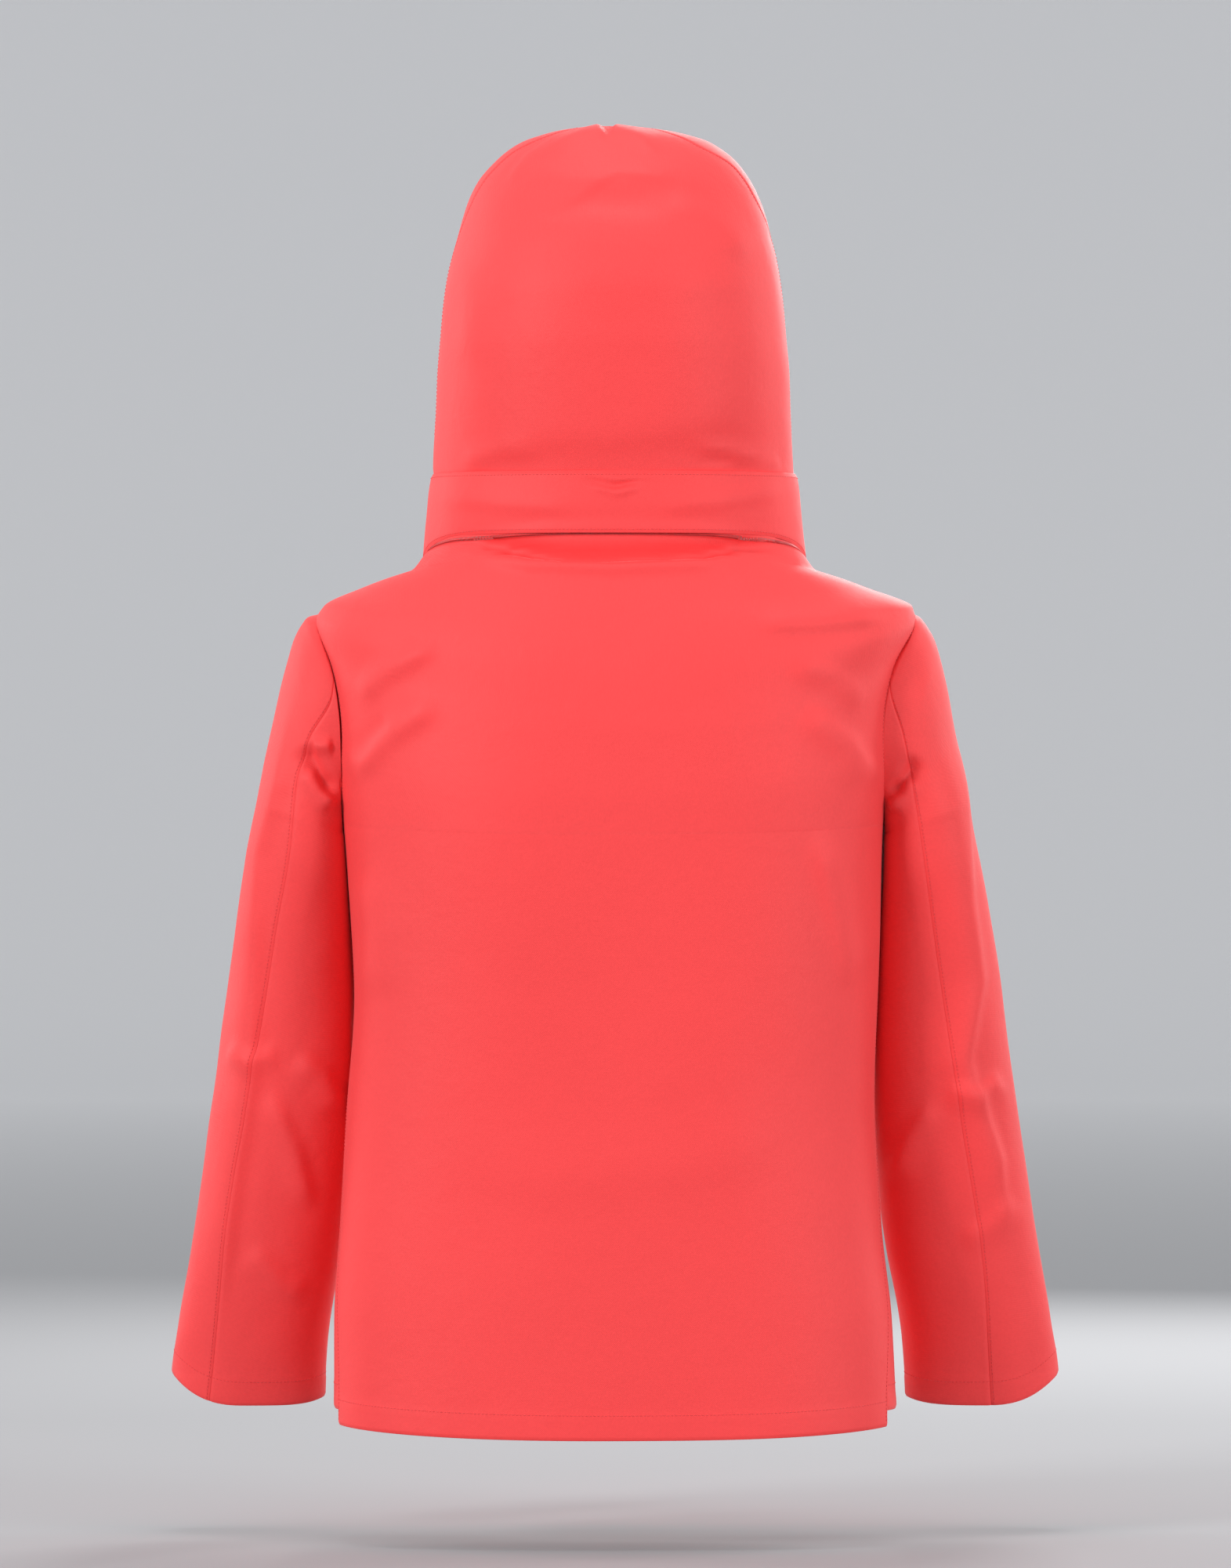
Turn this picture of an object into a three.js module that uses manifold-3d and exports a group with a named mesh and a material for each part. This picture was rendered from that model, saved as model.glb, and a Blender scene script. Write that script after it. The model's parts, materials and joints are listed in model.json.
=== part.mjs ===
// Hooded hardshell jacket, standing as worn, in millimetres. +Z up, +Y towards the front (zip side), -Y the back,
// +X the wearer's right. The origin is the centre of the neck opening at the height of the neck seam.
import * as THREE from "three";
import { mergeVertices } from "three/addons/utils/BufferGeometryUtils.js";
import Module from "manifold-3d";

const wasm = await Module();
wasm.setup();

// ---------- driving dimensions ----------
const T = 1.4; // laminate thickness, seam tape and facing included
const FRONT_Y = 120; // the zip runs straight down this plane
const ZIP_TOP = 64;
const ZIP_BOTTOM = -682;
const HEM_SIDE = -704;
const SLEEVE_TOP = -204; // upper edge of the moving sleeve

const SHELL = { color: 0xfc4d4d, roughness: 0.62, metalness: 0 };
const LINING = { color: 0xd83c3e, roughness: 0.7, metalness: 0 };
const ZIP = { color: 0xe04344, roughness: 0.5, metalness: 0 };
const HARD = { color: 0xb92f32, roughness: 0.45, metalness: 0 };

// ---------- helpers ----------
const group = new THREE.Group();
function add(name, geometry, look) {
  const g = geometry.clone();
  g.deleteAttribute("normal");
  g.deleteAttribute("uv");
  const mesh = new THREE.Mesh(mergeVertices(g, 1e-3), new THREE.MeshStandardMaterial(look));
  mesh.name = name;
  group.add(mesh);
  return mesh;
}
// joins closed geometries into one body
function join(...geometries) {
  const solids = geometries.map((geometry) => {
    const g = geometry.clone();
    g.deleteAttribute("normal");
    g.deleteAttribute("uv");
    const m = mergeVertices(g, 1e-3);
    return new wasm.Manifold(new wasm.Mesh({ numProp: 3, vertProperties: new Float32Array(m.attributes.position.array), triVerts: new Uint32Array(m.index.array) }));
  });
  const out = solids.reduce((a, b) => a.add(b)).getMesh();
  const g = new THREE.BufferGeometry();
  g.setAttribute("position", new THREE.Float32BufferAttribute(out.vertProperties, 3));
  g.setIndex([...out.triVerts]);
  return g;
}
const lerp = (a, b, t) => a + (b - a) * t;
const smooth = (t) => { const c = Math.min(1, Math.max(0, t)); return c * c * (3 - 2 * c); };
// monotone cubic through (xs, ys)
function curve(xs, ys) {
  const n = xs.length;
  const d = [];
  for (let i = 0; i < n - 1; i++) d.push((ys[i + 1] - ys[i]) / (xs[i + 1] - xs[i]));
  const m = [d[0]];
  for (let i = 1; i < n - 1; i++) m.push(d[i - 1] * d[i] <= 0 ? 0 : (2 * d[i - 1] * d[i]) / (d[i - 1] + d[i]));
  m.push(d[n - 2]);
  return (x) => {
    let i = 0;
    while (i < n - 2 && x > xs[i + 1]) i++;
    const h = xs[i + 1] - xs[i];
    const t = Math.min(1, Math.max(0, (x - xs[i]) / h));
    const t2 = t * t, t3 = t2 * t;
    return (2 * t3 - 3 * t2 + 1) * ys[i] + (t3 - 2 * t2 + t) * h * m[i] + (-2 * t3 + 3 * t2) * ys[i + 1] + (t3 - t2) * h * m[i + 1];
  };
}
const sp = (v, p) => Math.sign(v) * Math.pow(Math.abs(v), p);

// A panel: surface(u, v) -> Vector3 over us x vs, given thickness inwards. `out` is +1 when du x dv points out of the garment.
function slab(surface, us, vs, t, out, lift = 0) {
  const e = 1e-3;
  const pos = [];
  const nu = us.length, nv = vs.length;
  const at = (u, v) => surface(u, v);
  const normal = (u, v) => {
    const du = at(u + e, v).sub(at(u - e, v));
    const dv = at(u, v + e).sub(at(u, v - e));
    return du.cross(dv).normalize().multiplyScalar(out);
  };
  const outer = [], inner = [];
  for (const v of vs) for (const u of us) {
    const p = at(u, v), n = normal(u, v);
    outer.push(p.clone().addScaledVector(n, lift));
    inner.push(p.clone().addScaledVector(n, lift - t));
  }
  const tri = (a, b, c) => { for (const p of out > 0 ? [a, b, c] : [a, c, b]) pos.push(p.x, p.y, p.z); };
  const id = (i, j) => j * nu + i;
  for (let j = 0; j < nv - 1; j++) for (let i = 0; i < nu - 1; i++) {
    const a = id(i, j), b = id(i + 1, j), c = id(i + 1, j + 1), d = id(i, j + 1);
    tri(outer[a], outer[b], outer[c]); tri(outer[a], outer[c], outer[d]);
    tri(inner[a], inner[c], inner[b]); tri(inner[a], inner[d], inner[c]);
  }
  const edge = (a, b) => { tri(outer[b], outer[a], inner[a]); tri(outer[b], inner[a], inner[b]); };
  for (let i = 0; i < nu - 1; i++) { edge(id(i, 0), id(i + 1, 0)); edge(id(i + 1, nv - 1), id(i, nv - 1)); }
  for (let j = 0; j < nv - 1; j++) { edge(id(nu - 1, j), id(nu - 1, j + 1)); edge(id(0, j + 1), id(0, j)); }
  const g = new THREE.BufferGeometry();
  g.setAttribute("position", new THREE.Float32BufferAttribute(pos, 3));
  return g;
}
const steps = (a, b, n) => Array.from({ length: n + 1 }, (_, i) => lerp(a, b, i / n));

// ---------- torso surface: angle t (0 front centre, 90 wearer's left, 180 back centre), level v ----------
// levels:          hem    .    waist   .     .   armpit  .     .   shoulder  .    neck
const LV =        [ 0,     1,    2,     3,    4,    5,    6,    7,    8,     9,    10];
const SIDE_Z =    [HEM_SIDE, -620, -540, -440, -355, -215, -170, -118, -47,  -24,   -4];
const BACK_Z =    [-718, -630, -545,  -442, -356, -222, -184, -142, -84,   -30,   18];
const FRONT_Z =   [-690, -612, -536,  -438, -354, -222, -186, -146, -100,  -64,  -30];
const HALF_W =    [229,  228,  222,   216,  213.5, 220, 224,  227,  237,   208,  156];
const BACK_Y =    [-128, -129, -130,  -133, -138, -149, -151, -151, -146, -134, -116];
const POWER =     [2.6,  2.6,  2.6,   2.6,  2.6,  2.6,  2.6,  2.5,  2.3,  2.15, 2.3];
const POWER_F =   [2.3,  2.25, 2.2,   2.2,  2.2,  2.25, 2.3,  2.35, 2.3,  2.15, 2.3];
const MID_Y = 0;
const cSide = curve(LV, SIDE_Z), cBack = curve(LV, BACK_Z), cFront = curve(LV, FRONT_Z);
const cHalf = curve(LV, HALF_W), cBackY = curve(LV, BACK_Y), cPow = curve(LV, POWER), cPowF = curve(LV, POWER_F);
function torso(tDeg, v) {
  const t = (tDeg * Math.PI) / 180;
  const c = Math.cos(t), s = Math.sin(t), p = 2 / (c > 0 ? cPowF(v) : cPow(v));
  const x = -cHalf(v) * sp(s, p);
  const y = MID_Y + (c > 0 ? (FRONT_Y - MID_Y) * sp(c, p) : -(cBackY(v) - MID_Y) * sp(c, p));
  const w = Math.pow(Math.abs(c), 1.6);
  const z = lerp(cSide(v), c > 0 ? cFront(v) : cBack(v), w);
  return new THREE.Vector3(x, y, z);
}
// half-angle of the armhole at level v, measured from the side line
const cHoleBack = curve([5, 5.4, 6, 7, 7.6, 8], [0.6, 10, 16, 17, 11, 0.6]);
const cHoleFront = curve([5, 5.4, 6, 7, 7.6, 8], [0.6, 12, 20, 21, 13, 0.6]);
const holeBack = (v) => (v < 5 || v > 8 ? 0.6 : cHoleBack(v));
const holeFront = (v) => (v < 5 || v > 8 ? 0.6 : cHoleFront(v));

const V_BODY = [0, 1, 2, 3, 4, 5, 5.4, 6, 6.5, 7, 7.6, 8, 8.5, 9, 9.5, 9.96];
// back panel, side seam to side seam, cut away round both armholes
add("back_panel", slab((u, v) => torso(lerp(90 + holeBack(v), 270 - holeBack(v), u), v), steps(0, 1, 14), V_BODY, T, 1), SHELL);
// front panels run from the side seam to the zip; their zip edge is straight at ZIP_EDGE from the centre
const ZIP_EDGE = 13;
const zipAngle = (v) => (Math.asin(Math.pow(ZIP_EDGE / cHalf(v), cPowF(v) / 2)) * 180) / Math.PI;
const U_LEFT = [0, 0.12, 0.27, 0.42, 0.57, 0.72, 0.86, 1], U_RIGHT = U_LEFT.map((u) => 1 - u).reverse();
add("front_panel_left", slab((u, v) => torso(lerp(zipAngle(v), 90 - holeFront(v), u), v), U_LEFT, V_BODY, T, 1), SHELL);
add("front_panel_right", slab((u, v) => torso(lerp(270 + holeFront(v), 360 - zipAngle(v), u), v), U_RIGHT, V_BODY, T, 1), SHELL);

// hem facings inside the lower edge
const FACE_V = [0.02, 0.2, 0.38];
add("hem_facing_back", slab((u, v) => torso(lerp(90.6, 269.4, u), v), steps(0, 1, 14), FACE_V, 1.0, 1, -T - 0.8), LINING);
add("hem_facing_front_left", slab((u, v) => torso(lerp(zipAngle(v), 89.4, u), v), U_LEFT.slice(2), FACE_V, 1.0, 1, -T - 0.8), LINING);
add("hem_facing_front_right", slab((u, v) => torso(lerp(270.6, 360 - zipAngle(v), u), v), U_RIGHT.slice(0, -2), FACE_V, 1.0, 1, -T - 0.8), LINING);

// ---------- collar ----------
// the neck ring rises from the neck seam to a level top edge; h = 0 at the seam, 1 at the top
const COLLAR_TOP = 69.5;
const cCollarHalf = curve([-30, 0, 20, 69.5], [158, 156, 154.5, 148]);
const cCollarBack = curve([-30, 0, 20, 69.5], [-117, -117, -117, -119]);
function collar(tDeg, h, top = COLLAR_TOP) {
  const t = (tDeg * Math.PI) / 180, c = Math.cos(t), s = Math.sin(t);
  const z0 = lerp(-3, c > 0 ? -29 : 19.5, Math.pow(Math.abs(c), 1.6));
  const z = lerp(z0, top, h);
  const p = 2 / 2.3;
  return new THREE.Vector3(-cCollarHalf(z) * sp(s, p), c > 0 ? FRONT_Y * sp(c, p) : -cCollarBack(z) * sp(c, p), z);
}
const collarEdge = (Math.asin(Math.pow(ZIP_EDGE / 152, 1.15)) * 180) / Math.PI;
const RING = [collarEdge, 8, 15, 27, 40, 53, 66, 78, 90, 102, 114, 127, 140, 153, 166, 180];
const FULL_RING = [...RING, ...RING.slice(0, -1).map((a) => 360 - a).reverse()];
add("neck_band", slab((u, h) => collar(u, h), FULL_RING, [0.03, 0.34, 0.68, 1], T, 1), SHELL);
add("collar_lining", slab((u, h) => collar(u, h, 66), FULL_RING.slice(3, -3), [0.12, 0.5, 1], 1.0, 1, -T - 1.2), LINING);
// soft guard inside the zip end at the chin
add("chin_guard", slab((u, h) => new THREE.Vector3(lerp(30, -30, u), FRONT_Y - 8.2, lerp(24, 66, h)), steps(0, 1, 2), [0, 1], 1.2, 1), LINING);

// ---------- hood surface ----------
const HZ =       [71,   130,  150,  182,  214,  246,  262,  278,  294,  310,  326,  342,  350,  354,  354.8, 355];
const HOOD_HALF =[148,  145.5,144,  141,  138,  132.5,128.5,124.5,119,  111,  98,   76,   50,   22,   9,     2.6];
const HOOD_BACK =[-119, -134, -137, -140, -140, -134, -129, -122, -113, -102, -87,  -64,  -40,  -12,  4,     12];
const HOOD_FRONT=[120,  122,  124,  126,  128,  128,  128,  127,  125,  121,  114,  98,   74,   44,   24,    17];
const OPEN_X =   [112,  112,  112,  112,  110,  105,  100,  92,   80,   60,   10,   1,    1,    1,    0.8,   0.8];
const cHoodHalf = curve(HZ, HOOD_HALF), cHoodBack = curve(HZ, HOOD_BACK), cHoodFront = curve(HZ, HOOD_FRONT);
const cOpen = curve(HZ, OPEN_X), cHoodMid = curve(HZ, [0, -8, -8, -8, -6, -4, -2, 0, 2, 4, 6, 10, 12, 14, 14, 14.5]);
function hood(tDeg, z) {
  const t = (tDeg * Math.PI) / 180, c = Math.cos(t), s = Math.sin(t), p = 2 / 2.25;
  const m = cHoodMid(z);
  return new THREE.Vector3(-cHoodHalf(z) * sp(s, p), c > 0 ? m + (cHoodFront(z) - m) * sp(c, p) : m + (m - cHoodBack(z)) * sp(c, p), z);
}
const openAngle = (z) => (Math.asin(Math.pow(Math.min(0.999, cOpen(z) / cHoodHalf(z)), 2.25 / 2)) * 180) / Math.PI;
// half-angle of the rear shield panel, from the back centre
const cShield = curve([71, 221, 259, 291, 317, 336, 351], [92, 90, 86, 79, 70, 52, 40]);
// lower hood, sewn to the collar: the moving hood slides outside it
add("hood_lower_panel", slab((u, z) => hood(lerp(openAngle(z), 360 - openAngle(z), u), z), steps(0, 1, 20), [71, 90, 110, 128], T, 1, -3.2), SHELL);
const HB = [131, 150, 182, 214, 246, 262, 278, 294, 310, 326, 338, 346, 351];
add("hood_back_panel", slab((u, z) => hood(lerp(180 - cShield(z), 180 + cShield(z), u), z), steps(0, 1, 12), HB, T, 1), SHELL);
const HS = [...HB, 353, 354.4, 354.9];
// above the shield's top edge the side panels close towards the crown seam
const shieldSide = (z) => (z > 351 ? lerp(40, 8, smooth((z - 351) / 2)) : cShield(z)) + 0.6;
add("hood_side_left", slab((u, z) => hood(lerp(openAngle(z), 180 - shieldSide(z), u), z), steps(0, 1, 7), HS, T, 1), SHELL);
add("hood_side_right", slab((u, z) => hood(lerp(180 + shieldSide(z), 360 - openAngle(z), u), z), steps(0, 1, 7), HS, T, 1), SHELL);
// stiffened visor over the face opening
add("hood_brim", slab((u, w) => {
  const a = lerp(-1, 1, u), x = a * 86;
  const zb = 332 - 35 * Math.pow(Math.abs(a), 1.9);
  return new THREE.Vector3(x, 118.5 - 16 * a * a + w * 27 * (1 - 0.6 * a * a), zb - w * 9);
}, steps(0, 1, 10), [0, 0.5, 1], 1.8, 1), SHELL);

// ---------- sleeves ----------
const SZ =   [-690, -640, -570, -500, -420, -346, -282, -218, -190];
const OUTX = [363,  358,  347,  336,  325.5, 315, 304.5, 292.5, 287];
const INX =  [239,  234,  226,  219.5, 216, 216, 219,  224,  226];
const SHY =  [40,   45,   52,   58,   63,   67,   71,   75,   76];
const SCY =  [88,   78,   65,   54,   43,   35,   29,   23,   20];
const cOut = curve([...SZ], [...OUTX]), cIn = curve(SZ, INX), cShy = curve(SZ, SHY), cScy = curve(SZ, SCY);
function sleeve(side, tDeg, z, tilt = 0) {
  // t: 0 front, 90 outer side, 180 back, 270 inner side
  const t = (tDeg * Math.PI) / 180, c = Math.cos(t), s = Math.sin(t), p = 2 / 2.2;
  const cx = (cOut(z) + cIn(z)) / 2, hx = (cOut(z) - cIn(z)) / 2;
  return new THREE.Vector3(side * (cx + hx * sp(s, p)), cScy(z) + cShy(z) * sp(c, p), z);
}
// shoulder head: fans round the armpit from the armhole to the top of the moving sleeve
const FA = [0, 15, 30, 45, 60, 75, 90];
const FX = [238.5, 256, 266, 273, 279, 284.5, 289], FZ = [-48, -58, -85, -115, -146, -174, -199];
const cFx = curve(FA, FX), cFz = curve(FA, FZ), cFy = curve(FA, [66, 68, 69, 70, 71, 71.5, 72]);
function head(side, tDeg, a) {
  const t = (tDeg * Math.PI) / 180, c = Math.cos(t), s = Math.sin(t), p = 2 / 2.2;
  const ix = lerp(231, 222, a / 90), iz = lerp(-196, -199, a / 90);
  const ox = cFx(a), oz = cFz(a);
  const k = (1 + sp(s, p)) / 2;
  return new THREE.Vector3(side * lerp(ix, ox, k), lerp(10, 20, a / 90) + cFy(a) * sp(c, p) * 0.96, lerp(iz, oz, k));
}
for (const side of [-1, 1]) {
  const tag = side < 0 ? "left" : "right";
  const out = side < 0 ? 1 : -1;
  add(`sleeve_head_${tag}`, slab((u, a) => head(side, lerp(-58, 238, u), a), steps(0, 1, 16), [4, 15, 30, 45, 60, 75, 90], T, -out * 1, -0.4), SHELL);
  const ZS = [-690, -640, -570, -500, -420, -346, -282, -235, SLEEVE_TOP];
  // outer panel wraps the outside, under panel the inside, meeting at two lengthwise seams
  add(`sleeve_outer_${tag}`, slab((u, z) => sleeve(side, lerp(-34, 214, u), z), steps(0, 1, 12), ZS, T, out), SHELL);
  add(`sleeve_under_${tag}`, slab((u, z) => sleeve(side, lerp(215, 325, u), z), steps(0, 1, 7), ZS, T, out), SHELL);
  add(`cuff_facing_${tag}`, slab((u, z) => sleeve(side, lerp(-34, 214, u), z), steps(0, 1, 12), [-687, -664, -641], 1.0, out, -T - 0.8), LINING);
}

// ---------- cuff tabs: hook-and-loop straps on the outer front of each cuff ----------
function box(w, d, h, x, y, z) { const g = new THREE.BoxGeometry(w, d, h); g.translate(x, y, z); return g; }
for (const side of [-1, 1]) {
  const tag = side < 0 ? "left" : "right";
  // x runs from the sewn root (outer side) to the free, rounded tip
  const q = (x) => side * (336 - x);
  const shape = new THREE.Shape();
  shape.moveTo(q(0), -13); shape.lineTo(q(54), -13); shape.quadraticCurveTo(q(66), -13, q(66), -1); shape.lineTo(q(66), 1);
  shape.quadraticCurveTo(q(66), 13, q(54), 13); shape.lineTo(q(0), 13); shape.closePath();
  const g = new THREE.ExtrudeGeometry(shape, { depth: 1.6, bevelEnabled: false, curveSegments: 4 });
  g.rotateX(Math.PI / 2); // lies in the XZ plane, thickness towards -Y
  g.translate(0, 129.6, -662);
  add(`cuff_tab_${tag}`, g, HARD);
  add(`cuff_loop_patch_${tag}`, box(66, 1.0, 24, side * 301, 127.0, -662), LINING);
}

// ---------- main zip ----------
function zipTape(side, x0, x1, len, coil) {
  // one half of a coil zip in plan: tape with the coil along its inner edge, run up Z
  const s = new THREE.Shape();
  const pts = [[x0, -1.4], [x0 + coil, -1.4], [x0 + coil, -0.5], [x1, -0.5], [x1, 0.5], [x0 + coil, 0.5], [x0 + coil, 1.4], [x0, 1.4]];
  const q = side > 0 ? pts : pts.map(([x, y]) => [-x, y]).reverse();
  s.moveTo(q[0][0], q[0][1]);
  for (let i = 1; i < q.length; i++) s.lineTo(q[i][0], q[i][1]);
  s.closePath();
  return new THREE.ExtrudeGeometry(s, { depth: len, bevelEnabled: false });
}
const ZY = FRONT_Y - T - 1.6; // middle of the tape
for (const side of [-1, 1]) {
  const g = zipTape(side, 0.7, 21, ZIP_TOP - ZIP_BOTTOM, 2.6);
  g.translate(0, ZY, ZIP_BOTTOM);
  add(`main_zip_tape_${side < 0 ? "left" : "right"}`, g, ZIP);
}
add("main_zip_top_stop", box(7, 3.4, 3, 0, ZY, ZIP_TOP + 2), HARD);
add("main_zip_retainer_box", box(8, 4.4, 6, 0, ZY, ZIP_BOTTOM - 3.5), HARD);

// slider: front plate, a thin neck through the slot between the coils, and a back plate, as one H section
function sliderBody(len, wide) {
  const s = new THREE.Shape();
  const w = wide, k = 0.35, o = 4.4, i = 2.2;
  const q = [[-w, i], [-k, i], [-k, -i], [-w, -i], [-w, -o], [w, -o], [w, -i], [k, -i], [k, i], [w, i], [w, o], [-w, o]];
  s.moveTo(q[0][0], q[0][1]);
  for (let n = 1; n < q.length; n++) s.lineTo(q[n][0], q[n][1]);
  s.closePath();
  return new THREE.ExtrudeGeometry(s, { depth: len, bevelEnabled: false });
}
{
  const g = sliderBody(11, 5);
  g.translate(0, ZY, ZIP_TOP - 13);
  // two ears carry the pull's cross bar
  const ears = [-1, 1].map((k) => box(1.1, 4.2, 5, k * 4.2, ZY + 4.4 + 1.9, ZIP_TOP - 5.5));
  add("main_zip_slider", join(g, ...ears), HARD);
  // pull: a flat tag hanging down the front of the slider from its upper end
  const s = new THREE.Shape();
  s.moveTo(-3.2, 0); s.lineTo(-3.2, -4); s.lineTo(-2.4, -9); s.lineTo(-3.6, -30); s.quadraticCurveTo(-3.4, -34, 0, -34); s.quadraticCurveTo(3.4, -34, 3.6, -30); s.lineTo(2.4, -9); s.lineTo(3.2, -4); s.lineTo(3.2, 0); s.closePath();
  const p = new THREE.ExtrudeGeometry(s, { depth: 1.6, bevelEnabled: false, curveSegments: 4 });
  p.rotateX(Math.PI / 2); // shape Y becomes Z, thickness runs to -Y
  p.translate(0, ZY + 4.4 + 2.6, ZIP_TOP - 4);
  add("main_zip_pull", p, HARD);
}

// ---------- hand pockets: an upright zip on each front panel ----------
// each pocket's chain stands on the panel along a straight line, so that its slider runs true; PK.turn is the panel's slant there
const PK = { x: 128.6, z0: -520, z1: -330, y: 102.9, turn: 20 };
for (const side of [-1, 1]) {
  const tag = side < 0 ? "left" : "right";
  const place = (g) => { g.rotateZ((-side * PK.turn * Math.PI) / 180); g.translate(side * PK.x, PK.y, 0); return g; };
  const chain = sliderStrip(PK.z1 - PK.z0);
  chain.translate(0, 0, PK.z0);
  add(`hand_pocket_zip_${tag}`, place(chain), ZIP);
  // slider: a plate with two flanges down the sides of the chain, and two ears for the pull
  const c = new THREE.Shape();
  const q = [[-4.2, 0.5], [-3.1, 0.5], [-3.1, 2.4], [3.1, 2.4], [3.1, 0.5], [4.2, 0.5], [4.2, 4.0], [-4.2, 4.0]];
  c.moveTo(q[0][0], q[0][1]);
  for (let n = 1; n < q.length; n++) c.lineTo(q[n][0], q[n][1]);
  c.closePath();
  const sl = new THREE.ExtrudeGeometry(c, { depth: 9, bevelEnabled: false });
  sl.translate(0, 0, PK.z1 - 12);
  const ears = [-1, 1].map((k) => box(0.9, 3.4, 4, k * 3.6, 5.4, PK.z1 - 6));
  add(`hand_pocket_slider_${tag}`, place(join(sl, ...ears)), HARD);
  const s = new THREE.Shape();
  s.moveTo(-2.7, 0); s.lineTo(-2.7, -3); s.lineTo(-1.8, -7); s.lineTo(-3, -22); s.lineTo(-1.6, -26); s.lineTo(1.6, -26); s.lineTo(3, -22); s.lineTo(1.8, -7); s.lineTo(2.7, -3); s.lineTo(2.7, 0); s.closePath();
  const p = new THREE.ExtrudeGeometry(s, { depth: 1.4, bevelEnabled: false });
  p.rotateX(Math.PI / 2);
  p.translate(0, 6.2, PK.z1 - 4.6);
  add(`hand_pocket_pull_${tag}`, place(p), HARD);
  // pocket bag hung inside the front panel
  add(`hand_pocket_bag_${tag}`, slab((u, v) => torso(side < 0 ? lerp(24, 62, u) : lerp(298, 336, u), v), steps(0, 1, 5), [1.2, 2, 3, 4.2], 0.9, 1, -T - 5), LINING);
}
function sliderStrip(len) {
  const s = new THREE.Shape();
  const q = [[-9, -1.2], [9, -1.2], [9, 0], [2.6, 0], [2.6, 1.9], [-2.6, 1.9], [-2.6, 0], [-9, 0]];
  s.moveTo(q[0][0], q[0][1]);
  for (let n = 1; n < q.length; n++) s.lineTo(q[n][0], q[n][1]);
  s.closePath();
  return new THREE.ExtrudeGeometry(s, { depth: len, bevelEnabled: false });
}

// ---------- small hardware ----------
// hanging loop inside the back of the neck: a flat U of tape standing 7 mm off the lining
{
  const s = new THREE.Shape();
  s.moveTo(-34, 0); s.lineTo(34, 0); s.lineTo(34, 2.2); s.lineTo(29, 2.2); s.lineTo(27, 10.5); s.lineTo(-27, 10.5); s.lineTo(-29, 2.2); s.lineTo(-34, 2.2); s.closePath();
  const hole = new THREE.Path();
  hole.moveTo(-27, 1.3); hole.lineTo(-25.2, 9.3); hole.lineTo(25.2, 9.3); hole.lineTo(27, 1.3); hole.closePath();
  s.holes.push(hole);
  const g = new THREE.ExtrudeGeometry(s, { depth: 8, bevelEnabled: false });
  g.translate(0, -109.4, 40);
  add("hang_loop", g, HARD);
}
// sprung cord locks: a housing with a blind bore, and a button standing out of it
function lock(name, x, y, z, dir) {
  // axis along Y, button towards dir * Y
  const prof = [[0, 0], [6, 0], [6, 11], [3.9, 11], [3.9, 5], [0, 5]].map(([r, h]) => new THREE.Vector2(r, h));
  const h = new THREE.LatheGeometry(prof, 16);
  if (dir < 0) h.rotateX(-Math.PI / 1); // open end towards -Y
  h.translate(x, y, z);
  add(`${name}_housing`, h, HARD);
  const b = new THREE.CylinderGeometry(3.5, 3.5, 7, 16);
  b.translate(x, y + dir * 11.9, z);
  add(`${name}_button`, b, HARD);
}
lock("hem_cord_lock_left", -150, 68, -672, 1);
lock("hem_cord_lock_right", 150, 68, -672, 1);
lock("hood_cinch_lock", 0, -110.5, 100, 1);

export default group;
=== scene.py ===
import json
import math

import bpy
import numpy as np
from mathutils import Matrix, Vector

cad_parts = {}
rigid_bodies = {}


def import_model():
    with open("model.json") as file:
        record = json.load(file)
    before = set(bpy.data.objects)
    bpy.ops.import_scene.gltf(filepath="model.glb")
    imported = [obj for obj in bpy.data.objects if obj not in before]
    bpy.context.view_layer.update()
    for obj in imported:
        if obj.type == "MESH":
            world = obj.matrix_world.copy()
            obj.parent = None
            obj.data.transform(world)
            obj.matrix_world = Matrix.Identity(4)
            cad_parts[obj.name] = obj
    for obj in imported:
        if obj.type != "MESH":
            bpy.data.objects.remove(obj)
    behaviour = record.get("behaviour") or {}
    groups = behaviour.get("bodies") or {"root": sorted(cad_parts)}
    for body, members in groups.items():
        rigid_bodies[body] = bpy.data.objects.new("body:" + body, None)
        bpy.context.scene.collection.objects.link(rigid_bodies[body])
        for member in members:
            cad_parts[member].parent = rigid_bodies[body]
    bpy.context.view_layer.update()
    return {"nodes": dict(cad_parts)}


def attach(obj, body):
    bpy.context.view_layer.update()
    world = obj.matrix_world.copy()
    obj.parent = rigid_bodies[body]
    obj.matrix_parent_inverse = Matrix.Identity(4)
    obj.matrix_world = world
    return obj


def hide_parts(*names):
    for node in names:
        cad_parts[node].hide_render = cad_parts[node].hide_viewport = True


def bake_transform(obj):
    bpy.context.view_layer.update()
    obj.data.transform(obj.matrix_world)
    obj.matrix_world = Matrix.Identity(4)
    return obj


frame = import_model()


# ------------------------------------------------------------------ camera
D = 8.0  # metres from the neck plane
cam_data = bpy.data.cameras.new("camera")
cam_data.sensor_fit = "VERTICAL"
cam_data.sensor_height = 36.0
cam_data.lens = 36.0 * D / 1.2806
cam_data.clip_end = 60
cam = bpy.data.objects.new("camera", cam_data)
cam.location = (0.0006, -D, -0.1827)
cam.rotation_euler = (math.pi / 2, 0, 0)
bpy.context.scene.collection.objects.link(cam)
bpy.context.scene.camera = cam


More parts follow.
